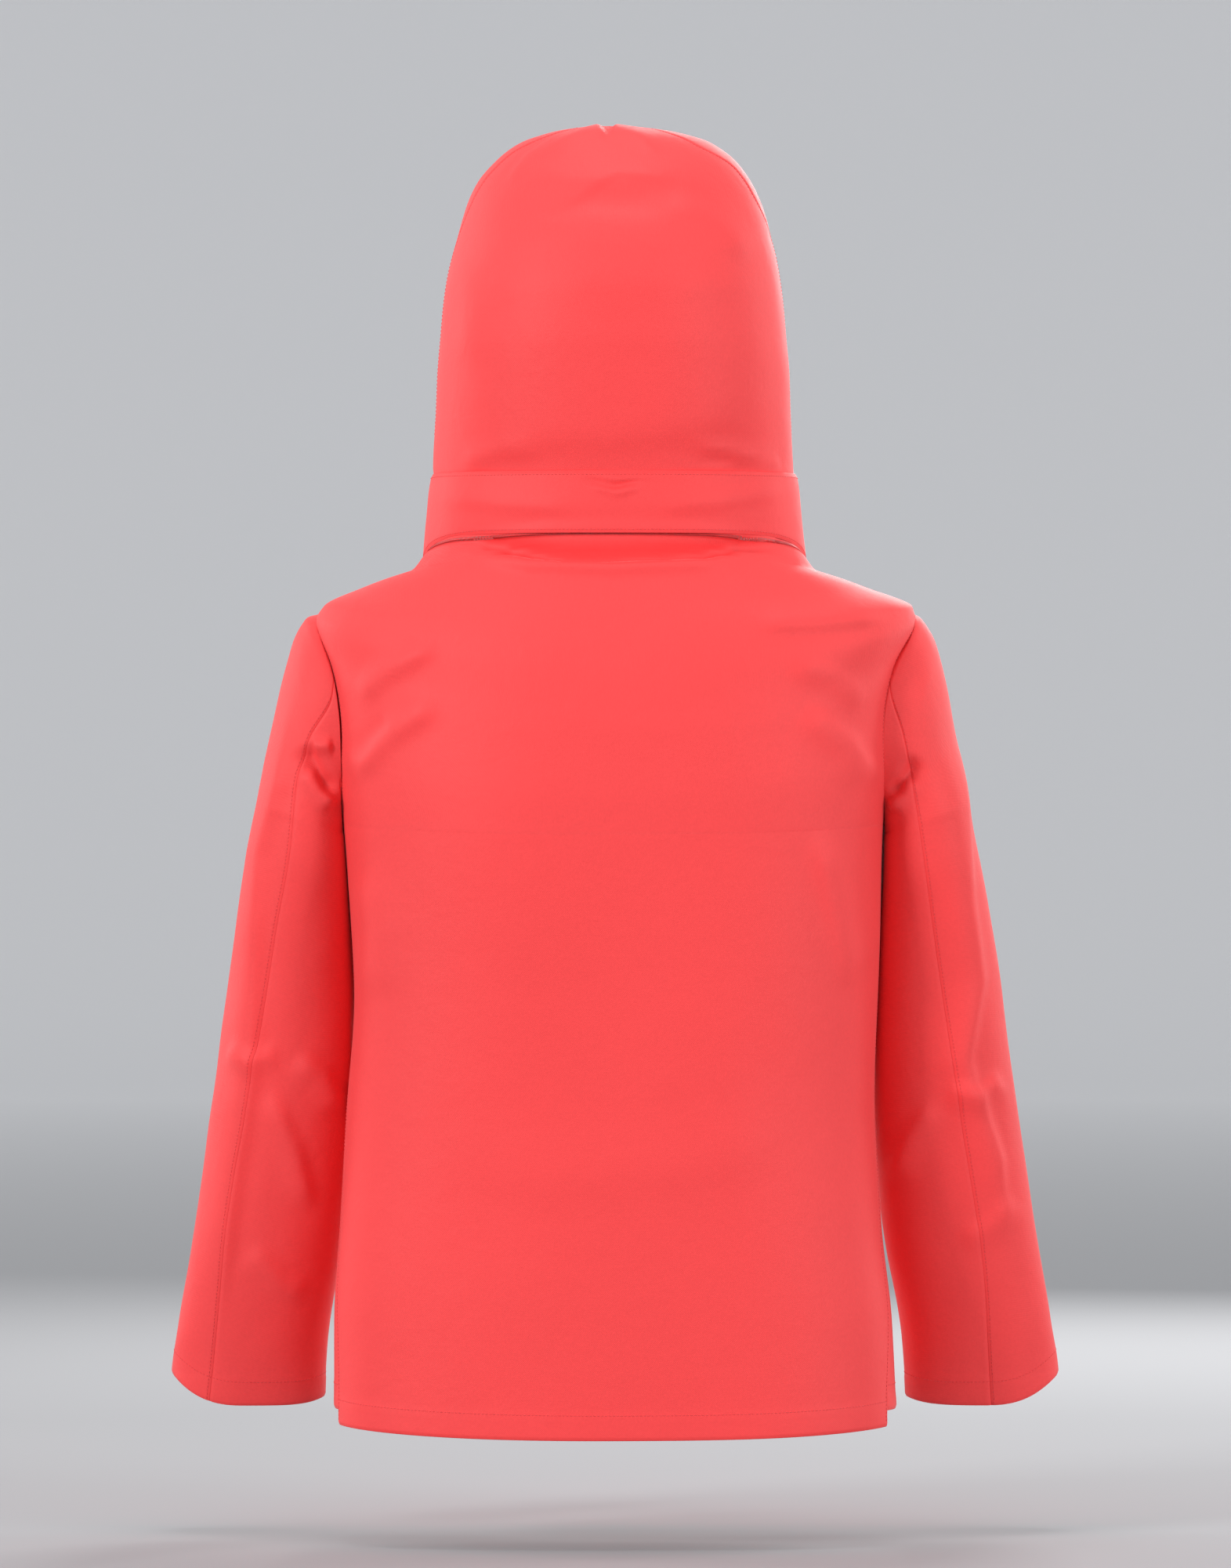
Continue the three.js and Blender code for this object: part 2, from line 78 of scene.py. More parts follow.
# ------------------------------------------------------------------ maths
def mono(xs, ys):
    xs, ys = np.array(xs, float), np.array(ys, float)
    if xs[0] > xs[-1]:
        xs, ys = xs[::-1], ys[::-1]
    d = np.diff(ys) / np.diff(xs)
    m = np.zeros(len(xs))
    m[0], m[-1] = d[0], d[-1]
    for i in range(1, len(xs) - 1):
        m[i] = 0 if d[i - 1] * d[i] <= 0 else 2 * d[i - 1] * d[i] / (d[i - 1] + d[i])

    def f(x):
        x = np.clip(np.asarray(x, float), xs[0], xs[-1])
        i = np.clip(np.searchsorted(xs, x, side="right") - 1, 0, len(xs) - 2)
        h = xs[i + 1] - xs[i]
        t = (x - xs[i]) / h
        t2, t3 = t * t, t * t * t
        return (2 * t3 - 3 * t2 + 1) * ys[i] + (t3 - 2 * t2 + t) * h * m[i] + (-2 * t3 + 3 * t2) * ys[i + 1] + (t3 - t2) * h * m[i + 1]

    return f


def smooth(t):
    t = np.clip(t, 0, 1)
    return t * t * (3 - 2 * t)


def sp(v, p):
    return np.sign(v) * np.abs(v) ** p


def lerp(a, b, t):
    return a + (b - a) * t


def waves(P, seed, wl, n=7, stretch=(1, 1, 1)):
    """smooth undulation of about unit size, with waves about wl mm long"""
    r = np.random.RandomState(seed)
    out = np.zeros(P.shape[:-1])
    Q = P * np.array(stretch)
    for _ in range(n):
        d = r.normal(size=3)
        d /= np.linalg.norm(d)
        k = 2 * math.pi / (wl * r.uniform(0.75, 1.5))
        out += np.sin(Q @ d * k + r.uniform(0, 6.283))
    return out / math.sqrt(n)


def fold(X, Z, pts, amp, w, lean=1.0, ends=(0.25, 0.25)):
    """a crease along a line in the back view: amp mm high, w mm wide, its two flanks as steep as lean says"""
    pts = np.array(pts, float)
    seg = np.diff(pts, axis=0)
    ln = np.linalg.norm(seg, axis=1)
    start = np.concatenate([[0], np.cumsum(ln)])
    best = np.full(X.shape, 1e9)
    side = np.zeros(X.shape)
    along = np.zeros(X.shape)
    for i in range(len(seg)):
        rx, rz = X - pts[i, 0], Z - pts[i, 1]
        t = np.clip((rx * seg[i, 0] + rz * seg[i, 1]) / ln[i] ** 2, 0, 1)
        dx, dz = rx - t * seg[i, 0], rz - t * seg[i, 1]
        d = np.hypot(dx, dz)
        s = np.sign(seg[i, 0] * rz - seg[i, 1] * rx)
        near = d < best
        best = np.where(near, d, best)
        side = np.where(near, s, side)
        along = np.where(near, (start[i] + t * ln[i]) / start[-1], along)
    ww = np.where(side > 0, w * lean, w / lean)
    taper = smooth(along / max(ends[0], 1e-3)) * smooth((1 - along) / max(ends[1], 1e-3))
    return amp * np.exp(-((best / ww) ** 2)) * taper


# ------------------------------------------------------------------ materials
def new_material(name, base, rough, weave=None, weave_depth=0.0, sheen=0.0, sheen_rough=0.4, sheen_tint=(1, 1, 1), vary=0.04, grain=0.0, spec=0.35, coat=0.0, metal=0.0, mottle=40.0, crinkle=0.0):
    m = bpy.data.materials.new(name)
    m.use_nodes = True
    nt = m.node_tree
    nt.nodes.clear()
    out = nt.nodes.new("ShaderNodeOutputMaterial")
    b = nt.nodes.new("ShaderNodeBsdfPrincipled")
    nt.links.new(b.outputs[0], out.inputs[0])
    b.inputs["Metallic"].default_value = metal
    b.inputs["Specular IOR Level"].default_value = spec
    b.inputs["Sheen Weight"].default_value = sheen
    b.inputs["Sheen Roughness"].default_value = sheen_rough
    b.inputs["Sheen Tint"].default_value = (*sheen_tint, 1)
    b.inputs["Coat Weight"].default_value = coat
    co = nt.nodes.new("ShaderNodeTexCoord")
    # broad, faint change of tone
    n1 = nt.nodes.new("ShaderNodeTexNoise")
    n1.inputs["Scale"].default_value = 6.0
    n1.inputs["Detail"].default_value = 3.0
    nt.links.new(co.outputs["Object"], n1.inputs["Vector"])
    n2 = nt.nodes.new("ShaderNodeTexNoise")
    n2.inputs["Scale"].default_value = mottle * 10
    n2.inputs["Detail"].default_value = 4.0
    nt.links.new(co.outputs["Object"], n2.inputs["Vector"])
    mixn = nt.nodes.new("ShaderNodeMath")
    mixn.operation = "MULTIPLY_ADD"
    mixn.inputs[1].default_value = 0.56
    nt.links.new(n2.outputs["Fac"], mixn.inputs[0])
    half = nt.nodes.new("ShaderNodeMath")
    half.operation = "MULTIPLY"
    half.inputs[1].default_value = 0.56
    nt.links.new(n1.outputs["Fac"], half.inputs[0])
    nt.links.new(half.outputs[0], mixn.inputs[2])
    ramp = nt.nodes.new("ShaderNodeValToRGB")
    ramp.color_ramp.elements[0].position = 0.3
    ramp.color_ramp.elements[1].position = 0.7
    lo = [max(0, c * (1 - vary * 1.6)) for c in base]
    hi = [min(1, c * (1 + vary)) for c in base]
    ramp.color_ramp.elements[0].color = (*lo, 1)
    ramp.color_ramp.elements[1].color = (*hi, 1)
    nt.links.new(mixn.outputs[0], ramp.inputs["Fac"])
    colour = ramp.outputs["Color"]
    height = None
    if weave:
        uv = nt.nodes.new("ShaderNodeUVMap")
        uv.uv_map = "weave"
        sep = nt.nodes.new("ShaderNodeSeparateXYZ")
        nt.links.new(uv.outputs[0], sep.inputs[0])
        k = 2 * math.pi / weave
        sines = []
        for axis in (0, 1):
            mul = nt.nodes.new("ShaderNodeMath")
            mul.operation = "MULTIPLY"
            mul.inputs[1].default_value = k / 2
            nt.links.new(sep.outputs[axis], mul.inputs[0])
            sn = nt.nodes.new("ShaderNodeMath")
            sn.operation = "SINE"
            nt.links.new(mul.outputs[0], sn.inputs[0])
            sines.append(sn)
        prod = nt.nodes.new("ShaderNodeMath")
        prod.operation = "MULTIPLY"
        nt.links.new(sines[0].outputs[0], prod.inputs[0])
        nt.links.new(sines[1].outputs[0], prod.inputs[1])
        # heavier yarn every few millimetres, as in a fine ripstop
        rips = []
        for axis in (0, 1):
            mul = nt.nodes.new("ShaderNodeMath")
            mul.operation = "MULTIPLY"
            mul.inputs[1].default_value = k / 14
            nt.links.new(sep.outputs[axis], mul.inputs[0])
            sn = nt.nodes.new("ShaderNodeMath")
            sn.operation = "SINE"
            nt.links.new(mul.outputs[0], sn.inputs[0])
            ab = nt.nodes.new("ShaderNodeMath")
            ab.operation = "ABSOLUTE"
            nt.links.new(sn.outputs[0], ab.inputs[0])
            pw = nt.nodes.new("ShaderNodeMath")
            pw.operation = "POWER"
            pw.inputs[1].default_value = 26
            nt.links.new(ab.outputs[0], pw.inputs[0])
            rips.append(pw)
        mx = nt.nodes.new("ShaderNodeMath")
        mx.operation = "MAXIMUM"
        nt.links.new(rips[0].outputs[0], mx.inputs[0])
        nt.links.new(rips[1].outputs[0], mx.inputs[1])
        ad = nt.nodes.new("ShaderNodeMath")
        ad.operation = "MULTIPLY_ADD"
        ad.inputs[1].default_value = 0.35
        nt.links.new(mx.outputs[0], ad.inputs[0])
        nt.links.new(prod.outputs[0], ad.inputs[2])
        bump = nt.nodes.new("ShaderNodeBump")
        bump.inputs["Strength"].default_value = 0.35
        bump.inputs["Distance"].default_value = weave_depth
        nt.links.new(ad.outputs[0], bump.inputs["Height"])
        height = bump
    g = nt.nodes.new("ShaderNodeTexNoise")
    g.inputs["Scale"].default_value = 900.0 if grain == 0 else grain
    g.inputs["Detail"].default_value = 3.0
    nt.links.new(co.outputs["Object"], g.inputs["Vector"])
    b2 = nt.nodes.new("ShaderNodeBump")
    b2.inputs["Strength"].default_value = 0.12
    b2.inputs["Distance"].default_value = 0.0003
    nt.links.new(g.outputs["Fac"], b2.inputs["Height"])
    if crinkle:
        cn = nt.nodes.new("ShaderNodeTexNoise")
        cn.inputs["Scale"].default_value = 46.0
        cn.inputs["Detail"].default_value = 6.0
        cn.inputs["Roughness"].default_value = 0.55
        cn.inputs["Distortion"].default_value = 0.4
        nt.links.new(co.outputs["Object"], cn.inputs["Vector"])
        cb = nt.nodes.new("ShaderNodeBump")
        cb.inputs["Strength"].default_value = 0.3
        cb.inputs["Distance"].default_value = crinkle
        nt.links.new(cn.outputs["Fac"], cb.inputs["Height"])
        if height:
            nt.links.new(height.outputs[0], cb.inputs["Normal"])
        height = cb
    if height:
        nt.links.new(height.outputs[0], b2.inputs["Normal"])
    nt.links.new(b2.outputs[0], b.inputs["Normal"])
    rr = nt.nodes.new("ShaderNodeMapRange")
    rr.inputs["To Min"].default_value = rough - 0.05
    rr.inputs["To Max"].default_value = rough + 0.06
    nt.links.new(n1.outputs["Fac"], rr.inputs["Value"])
    nt.links.new(rr.outputs[0], b.inputs["Roughness"])
    nt.links.new(colour, b.inputs["Base Color"])
    return m


CORAL = (0.93, 0.062, 0.064)
M_SHELL = new_material("shell_fabric", CORAL, 0.56, weave=0.00085, weave_depth=0.00012, sheen=0.22, sheen_rough=0.3, sheen_tint=(1.0, 0.62, 0.62), vary=0.03, spec=0.3, crinkle=0.0022)
M_LINING = new_material("lining_fabric", (0.66, 0.05, 0.055), 0.72, weave=0.0012, weave_depth=0.0002, sheen=0.2, sheen_tint=(1.0, 0.6, 0.6), vary=0.05, spec=0.25)
M_TAPE = new_material("zip_tape", (0.62, 0.035, 0.04), 0.66, grain=1500, sheen=0.15, vary=0.07, spec=0.3)
M_TEETH = new_material("zip_teeth", (0.72, 0.045, 0.05), 0.36, grain=700, vary=0.03, spec=0.5)
M_TRIM = new_material("trim_plastic", (0.5, 0.025, 0.032), 0.38, grain=520, vary=0.04, spec=0.5)
M_METAL = new_material("slider_metal", (0.42, 0.03, 0.035), 0.3, grain=600, vary=0.05, spec=0.55, metal=0.25, coat=0.3)
M_THREAD = new_material("thread", (0.80, 0.055, 0.06), 0.6, grain=2500, sheen=0.2, vary=0.05, spec=0.3)
M_WEB = new_material("webbing", (0.55, 0.03, 0.036), 0.7, grain=1800, sheen=0.2, vary=0.08, spec=0.25)


# ------------------------------------------------------------------ meshes
def make_object(name, V, F, mat, uv=None, smooth_faces=True):
    me = bpy.data.meshes.new(name)
    V = np.asarray(V, float) * 0.001
    F = np.asarray(F)
    me.from_pydata(V.tolist(), [], F.tolist())
    if uv is not None:
        layer = me.uv_layers.new(name="weave")
        loops = np.zeros(len(me.loops), np.int32)
        me.loops.foreach_get("vertex_index", loops)
        layer.data.foreach_set("uv", (np.asarray(uv) * 0.001)[loops].astype(np.float32).ravel())
    if smooth_faces:
        me.shade_smooth()
    me.materials.append(mat)
    me.update()
    o = bpy.data.objects.new(name, me)
    bpy.context.scene.collection.objects.link(o)
    return o


def normals_of(P):
    du = np.gradient(P, axis=1)
    dv = np.gradient(P, axis=0)
    n = np.cross(du, dv)
    ln = np.linalg.norm(n, axis=-1, keepdims=True)
    bad = ln[..., 0] < 1e-9
    n = n / np.maximum(ln, 1e-9)
    if bad.any():
        n[bad] = (0, 0, 1)
    return n


def arc(P, axis):
    d = np.linalg.norm(np.diff(P, axis=axis), axis=-1)
    z = np.zeros_like(np.take(d, [0], axis=axis))
    return np.concatenate([z, np.cumsum(d, axis=axis)], axis=axis)


def resample(points, n, near=(0.7, 1.5, 2.6, 4.2)):
    """n points along a polyline, evenly spaced, with a few close to each end"""
    s = np.concatenate([[0], np.cumsum(np.linalg.norm(np.diff(points, axis=0), axis=1))])
    total = s[-1]
    a = [x for x in near if x < total * 0.2]
    inner = np.linspace(a[-1] if a else 0, total - (a[-1] if a else 0), n - 2 * len(a))
    at = np.concatenate([[0], a[:-1], inner, [total - x for x in a[:-1]][::-1], [total]]) if a else inner
    return np.stack([np.interp(at, s, points[:, i]) for i in range(3)], 1), at


def rows_grid(rows, n, near=(0.7, 1.5, 2.6, 4.2)):
    return np.array([resample(r, n, near)[0] for r in rows])


class Panel:
    pass


def panel(name, P, out, mat, thick=1.1, disp=None, roll=(1, 1, 1, 1), roll_depth=0.9, roll_width=1.5, closed=False, lift=0.0, make=True):
    """A fabric panel with real thickness, from a grid of points P[row, column]. roll says which edges turn in: left, right, first row, last row. out is +1 when du x dv points outwards."""
    N = normals_of(P) * out
    if closed:
        dv = np.gradient(P, axis=0)
        ext = np.concatenate([P[:, -2:-1], P, P[:, 1:2]], axis=1)
        du = (ext[:, 2:] - ext[:, :-2]) / 2
        N = np.cross(du, dv)
        N = N / np.maximum(np.linalg.norm(N, axis=-1, keepdims=True), 1e-9) * out
    au, av = arc(P, 1), arc(P, 0)
    h = np.full(P.shape[:2], float(lift))
    if disp is not None:
        h = h + disp(P, N)
    w, dep = roll_width, roll_depth
    h = h - dep * roll[0] * np.exp(-((au / w) ** 2))
    h = h - dep * roll[1] * np.exp(-(((au[:, -1:] - au) / w) ** 2))
    h = h - dep * roll[2] * np.exp(-((av / w) ** 2))
    h = h - dep * roll[3] * np.exp(-(((av[-1:] - av) / w) ** 2))
    O = P + N * h[..., None]
    I = O - N * thick
    nv, nu = P.shape[:2]
    cols = nu - 1 if closed else nu
    Ov, Iv = O[:, :cols].reshape(-1, 3), I[:, :cols].reshape(-1, 3)
    k = len(Ov)
    j, i = np.meshgrid(np.arange(nv - 1), np.arange(nu - 1), indexing="ij")
    i2 = (i + 1) % cols
    a, b = (j * cols + i).ravel(), (j * cols + i2).ravel()
    c, d = ((j + 1) * cols + i2).ravel(), ((j + 1) * cols + i).ravel()
    outer = np.stack([a, b, c, d], 1)
    inner = np.stack([d, c, b, a], 1) + k
    F = [outer, inner]

    def rim(p, q):
        F.append(np.stack([q, p, p + k, q + k], 1))

    ii = np.arange(nu - 1)
    i2 = (ii + 1) % cols
    rim(ii, i2)
    last = (nv - 1) * cols
    rim(last + i2, last + ii)
    if not closed:
        jj = np.arange(nv - 1)
        rim(jj * cols + nu - 1, (jj + 1) * cols + nu - 1)
        rim((jj + 1) * cols, jj * cols)
    F = np.concatenate(F)
    if out < 0:
        F = F[:, ::-1]
    uv = np.stack([au, av], -1)[:, :cols].reshape(-1, 2)
    r = Panel()
    r.O, r.N, r.au, r.av, r.cols, r.nv = O, N, au, av, cols, nv
    r.I = I
    r.obj = make_object(name, np.concatenate([Ov, Iv]), F, mat, np.concatenate([uv, uv])) if make else None
    r.count = k
    return r


def line_at(p, edge, dist, sl=slice(None)):
    """points and normals on a panel at a distance from one of its edges"""
    O, N = p.O, p.N
    if edge in ("u0", "u1"):
        A = p.au if edge == "u0" else p.au[:, -1:] - p.au
        res, nor = [], []
        for r in range(O.shape[0]):
            a = A[r] if edge == "u0" else A[r][::-1]
            o = O[r] if edge == "u0" else O[r][::-1]
            n = N[r] if edge == "u0" else N[r][::-1]
            res.append([np.interp(dist, a, o[:, i]) for i in range(3)])
            nor.append([np.interp(dist, a, n[:, i]) for i in range(3)])
    else:
        A = p.av if edge == "v0" else p.av[-1:] - p.av
        res, nor = [], []
        for c in range(O.shape[1]):
            a = A[:, c] if edge == "v0" else A[:, c][::-1]
            o = O[:, c] if edge == "v0" else O[:, c][::-1]
            n = N[:, c] if edge == "v0" else N[:, c][::-1]
            res.append([np.interp(dist, a, o[:, i]) for i in range(3)])
            nor.append([np.interp(dist, a, n[:, i]) for i in range(3)])
    return np.array(res)[sl], np.array(nor)[sl]


def stitches(name, lines, mat=None, pitch=3.1, length=2.4, r=0.3):
    """rows of thread stitches lying on a surface: lines is a list of (points, normals)"""
    Vs, Fs, base, keep = [], [], 0, []
    for pts, nor in lines:
        s = np.concatenate([[0], np.cumsum(np.linalg.norm(np.diff(pts, axis=0), axis=1))])
        n = int(s[-1] / pitch)
        if n < 1:
            continue
        at = (np.arange(n) + 0.5) * s[-1] / n
        mid = np.stack([np.interp(at, s, pts[:, i]) for i in range(3)], 1)
        nn = np.stack([np.interp(at, s, nor[:, i]) for i in range(3)], 1)
        nn /= np.maximum(np.linalg.norm(nn, axis=1, keepdims=True), 1e-9)
        ahead = np.stack([np.interp(np.minimum(at + 0.5, s[-1]), s, pts[:, i]) for i in range(3)], 1) - np.stack([np.interp(np.maximum(at - 0.5, 0), s, pts[:, i]) for i in range(3)], 1)
        t = ahead / np.maximum(np.linalg.norm(ahead, axis=1, keepdims=True), 1e-9)
        bn = np.cross(t, nn)
        bn /= np.maximum(np.linalg.norm(bn, axis=1, keepdims=True), 1e-9)
        up = np.cross(bn, t)
        verts = [mid - t * length / 2 - up * 0.1]
        for f in (-0.3, 0.3):
            for ca, sa in ((1, 0), (0, 1), (-1, 0), (0, -1)):
                verts.append(mid + t * length * f + bn * ca * r + up * (sa * r + 0.12))
        verts.append(mid + t * length / 2 - up * 0.1)
        V = np.stack(verts, 1).reshape(-1, 3)
        tri = [(0, 2, 1), (0, 3, 2), (0, 4, 3), (0, 1, 4), (9, 5, 6), (9, 6, 7), (9, 7, 8), (9, 8, 5)]
        quad = [(1, 2, 6, 5), (2, 3, 7, 6), (3, 4, 8, 7), (4, 1, 5, 8)]
        for q in range(n):
            o = base + q * 10
            Fs += [tuple(o + x for x in f) for f in tri + quad]
        Vs.append(V)
        base += n * 10
    me = bpy.data.meshes.new(name)
    me.from_pydata((np.concatenate(Vs) * 0.001).tolist(), [], Fs)
    me.shade_smooth()
    me.materials.append(mat or M_THREAD)
    o = bpy.data.objects.new(name, me)
    bpy.context.scene.collection.objects.link(o)
    return o


def tube(name, pts, r, mat, n=8, flat=1.0, nor=None, ends=True):
    """a cord-like binding along points, capped at both ends; flat squeezes it along the normal"""
    pts = np.asarray(pts, float)
    t = np.gradient(pts, axis=0)
    t /= np.maximum(np.linalg.norm(t, axis=1, keepdims=True), 1e-9)
    if nor is None:
        nor = np.zeros_like(pts)
        up = np.array([0.0, 0.0, 1.0]) if abs(t[0, 2]) < 0.9 else np.array([0.0, 1.0, 0.0])
        v = np.cross(t[0], up)
        v /= np.linalg.norm(v)
        for i in range(len(pts)):
            v = v - t[i] * (v @ t[i])
            v /= np.linalg.norm(v)
            nor[i] = v
    nor = nor - t * (nor * t).sum(1, keepdims=True)
    nor /= np.maximum(np.linalg.norm(nor, axis=1, keepdims=True), 1e-9)
    bn = np.cross(t, nor)
    rings = []
    for k in range(n):
        a = 2 * math.pi * k / n
        rings.append(pts + nor * (math.cos(a) * r * flat) + bn * (math.sin(a) * r))
    V = np.stack(rings, 1).reshape(-1, 3)
    F = []
    m = len(pts)
    for i in range(m - 1):
        for k in range(n):
            k2 = (k + 1) % n
            F.append((i * n + k, i * n + k2, (i + 1) * n + k2, (i + 1) * n + k))
    F.append(tuple(range(n))[::-1])
    F.append(tuple((m - 1) * n + k for k in range(n)))
    me = bpy.data.meshes.new(name)
    me.from_pydata((V * 0.001).tolist(), [], F)
    me.shade_smooth()
    me.materials.append(mat)
    o = bpy.data.objects.new(name, me)
    bpy.context.scene.collection.objects.link(o)
    return o


# ------------------------------------------------------------------ torso
FRONT_Y, MID_Y = 120.0, -15.0
LV = [0, 1, 2, 3, 4, 5, 6, 7, 7.5, 8, 8.5, 9, 9.5, 10]
SIDE_Z = [-702, -620, -540, -440, -355, -215, -170, -118, -84, -52, -38, -23.5, -13.6, -6.5]
BACK_Z = [-711, -626, -543, -441, -356, -222, -184, -142, -114, -86, -58, -33, -9, 16]
FRONT_Z = [-690, -612, -536, -438, -354, -222, -186, -146, -122, -100, -82, -64, -47, -30]
HALF_L = [226.8, 227.4, 223, 217.5, 212.5, 222, 227, 232, 236.5, 243.5, 237, 207.5, 181, 154]
HALF_R = [228.5, 226, 217.5, 213, 214.5, 218.5, 222.5, 226.5, 232.5, 245, 242.5, 206.5, 179, 153]
BACK_Y = [-126, -128, -130, -133, -138, -149, -151, -151, -149.5, -146.5, -141, -134, -125, -115.4]
POWER = [2.6, 2.6, 2.6, 2.6, 2.6, 2.6, 2.6, 2.5, 2.42, 2.35, 2.25, 2.15, 2.2, 2.3]
POWER_F = [2.3] * 9 + [2.3, 2.25, 2.2, 2.2, 2.3]
cSide, cBackZ, cFrontZ = mono(LV, SIDE_Z), mono(LV, BACK_Z), mono(LV, FRONT_Z)
cHL, cHR, cBackY = mono(LV, HALF_L), mono(LV, HALF_R), mono(LV, BACK_Y)
cP, cPF = mono(LV, POWER), mono(LV, POWER_F)


def neck_line(c):
    """height of the seam between collar band and body, from the cosine of the angle round the neck"""
    return lerp(-4.0, np.where(c > 0, -29.0, 19.5), np.where(c > 0, np.abs(c) ** 1.6, 1 - (1 - np.abs(c)) ** 2.6))


def torso(tDeg, v):
    t = np.radians(np.asarray(tDeg, float))
    v = np.asarray(v, float)
    c, s = np.cos(t), np.sin(t)
    p = 2 / np.where(c > 0, cPF(v), cP(v))
    x = np.where(s > 0, -cHL(v), cHR(v)) * np.abs(s) ** p
    y = MID_Y + np.where(c > 0, (FRONT_Y - MID_Y), (MID_Y - cBackY(v))) * sp(c, p)
    w = np.abs(c) ** 1.6
    z = lerp(cSide(v), np.where(c > 0, cFrontZ(v), cBackZ(v)), w)
    # the top edge follows the lower edge of the collar band and tucks in under it
    tuck = smooth((v - 9.75) / 0.25)
    z = z + tuck * (neck_line(c) + 3.6 - lerp(-3.0, np.where(c > 0, -30.0, 16.0), w))
    return np.stack(np.broadcast_arrays(x, y, z), -1)


# armhole, an oval in the side view
AY, AZ, RY, RZ = -3.0, -130.0, 63.0, 86.0


def seam_mid(v):
    """angle on the body straight below and above the armhole's centre"""
    return math.degrees(math.acos(((AY - MID_Y) / (FRONT_Y - MID_Y)) ** (float(cPF(v)) / 2)))


def hole_angle(v, back, left):
    """angle of the armhole's edge at level v, or of the side seam where there is none"""
    lo, hi = seam_mid(v), 135.0 if back else 45.0

    def inside(t):
        q = torso(t if left else 360 - t, v)
        return ((q[1] - AY) / RY) ** 2 + ((q[2] - AZ) / RZ) ** 2 < 1

    if not inside(lo):
        return None
    for _ in range(34):
        m = (lo + hi) / 2
        if inside(m):
            lo = m
        else:
            hi = m
    return (lo + hi) / 2


def level_of(z_side):
    lo, hi = 0.0, 10.0
    for _ in range(40):
        m = (lo + hi) / 2
        if cSide(m) < z_side:
            lo = m
        else:
            hi = m
    return lo


V_BOT, V_TOP = level_of(AZ - RZ), level_of(AZ + RZ)


def side_seam(v, left=True):
    # the side seam comes round to the back below the waist
    low = 101.5 if left else lerp(108.0, 101.5, smooth(v / 1.2))
    return lerp(low, seam_mid(v), smooth((v - 0.6) / 3.6))


def levels(n1, n2, n3, v0=0.0):
    a = lerp(v0, V_BOT, np.linspace(0, 1, n1))
    b = lerp(V_BOT, V_TOP, (1 - np.cos(np.linspace(0, math.pi, n2))) / 2)[1:]
    c = lerp(V_TOP, 10.0, np.linspace(0, 1, n3))[1:]
    return np.concatenate([a[:1], [a[0] + 0.008, a[0] + 0.018, a[0] + 0.032], a[1:], b, c[:-1], [9.93, 9.97, 10.0]])


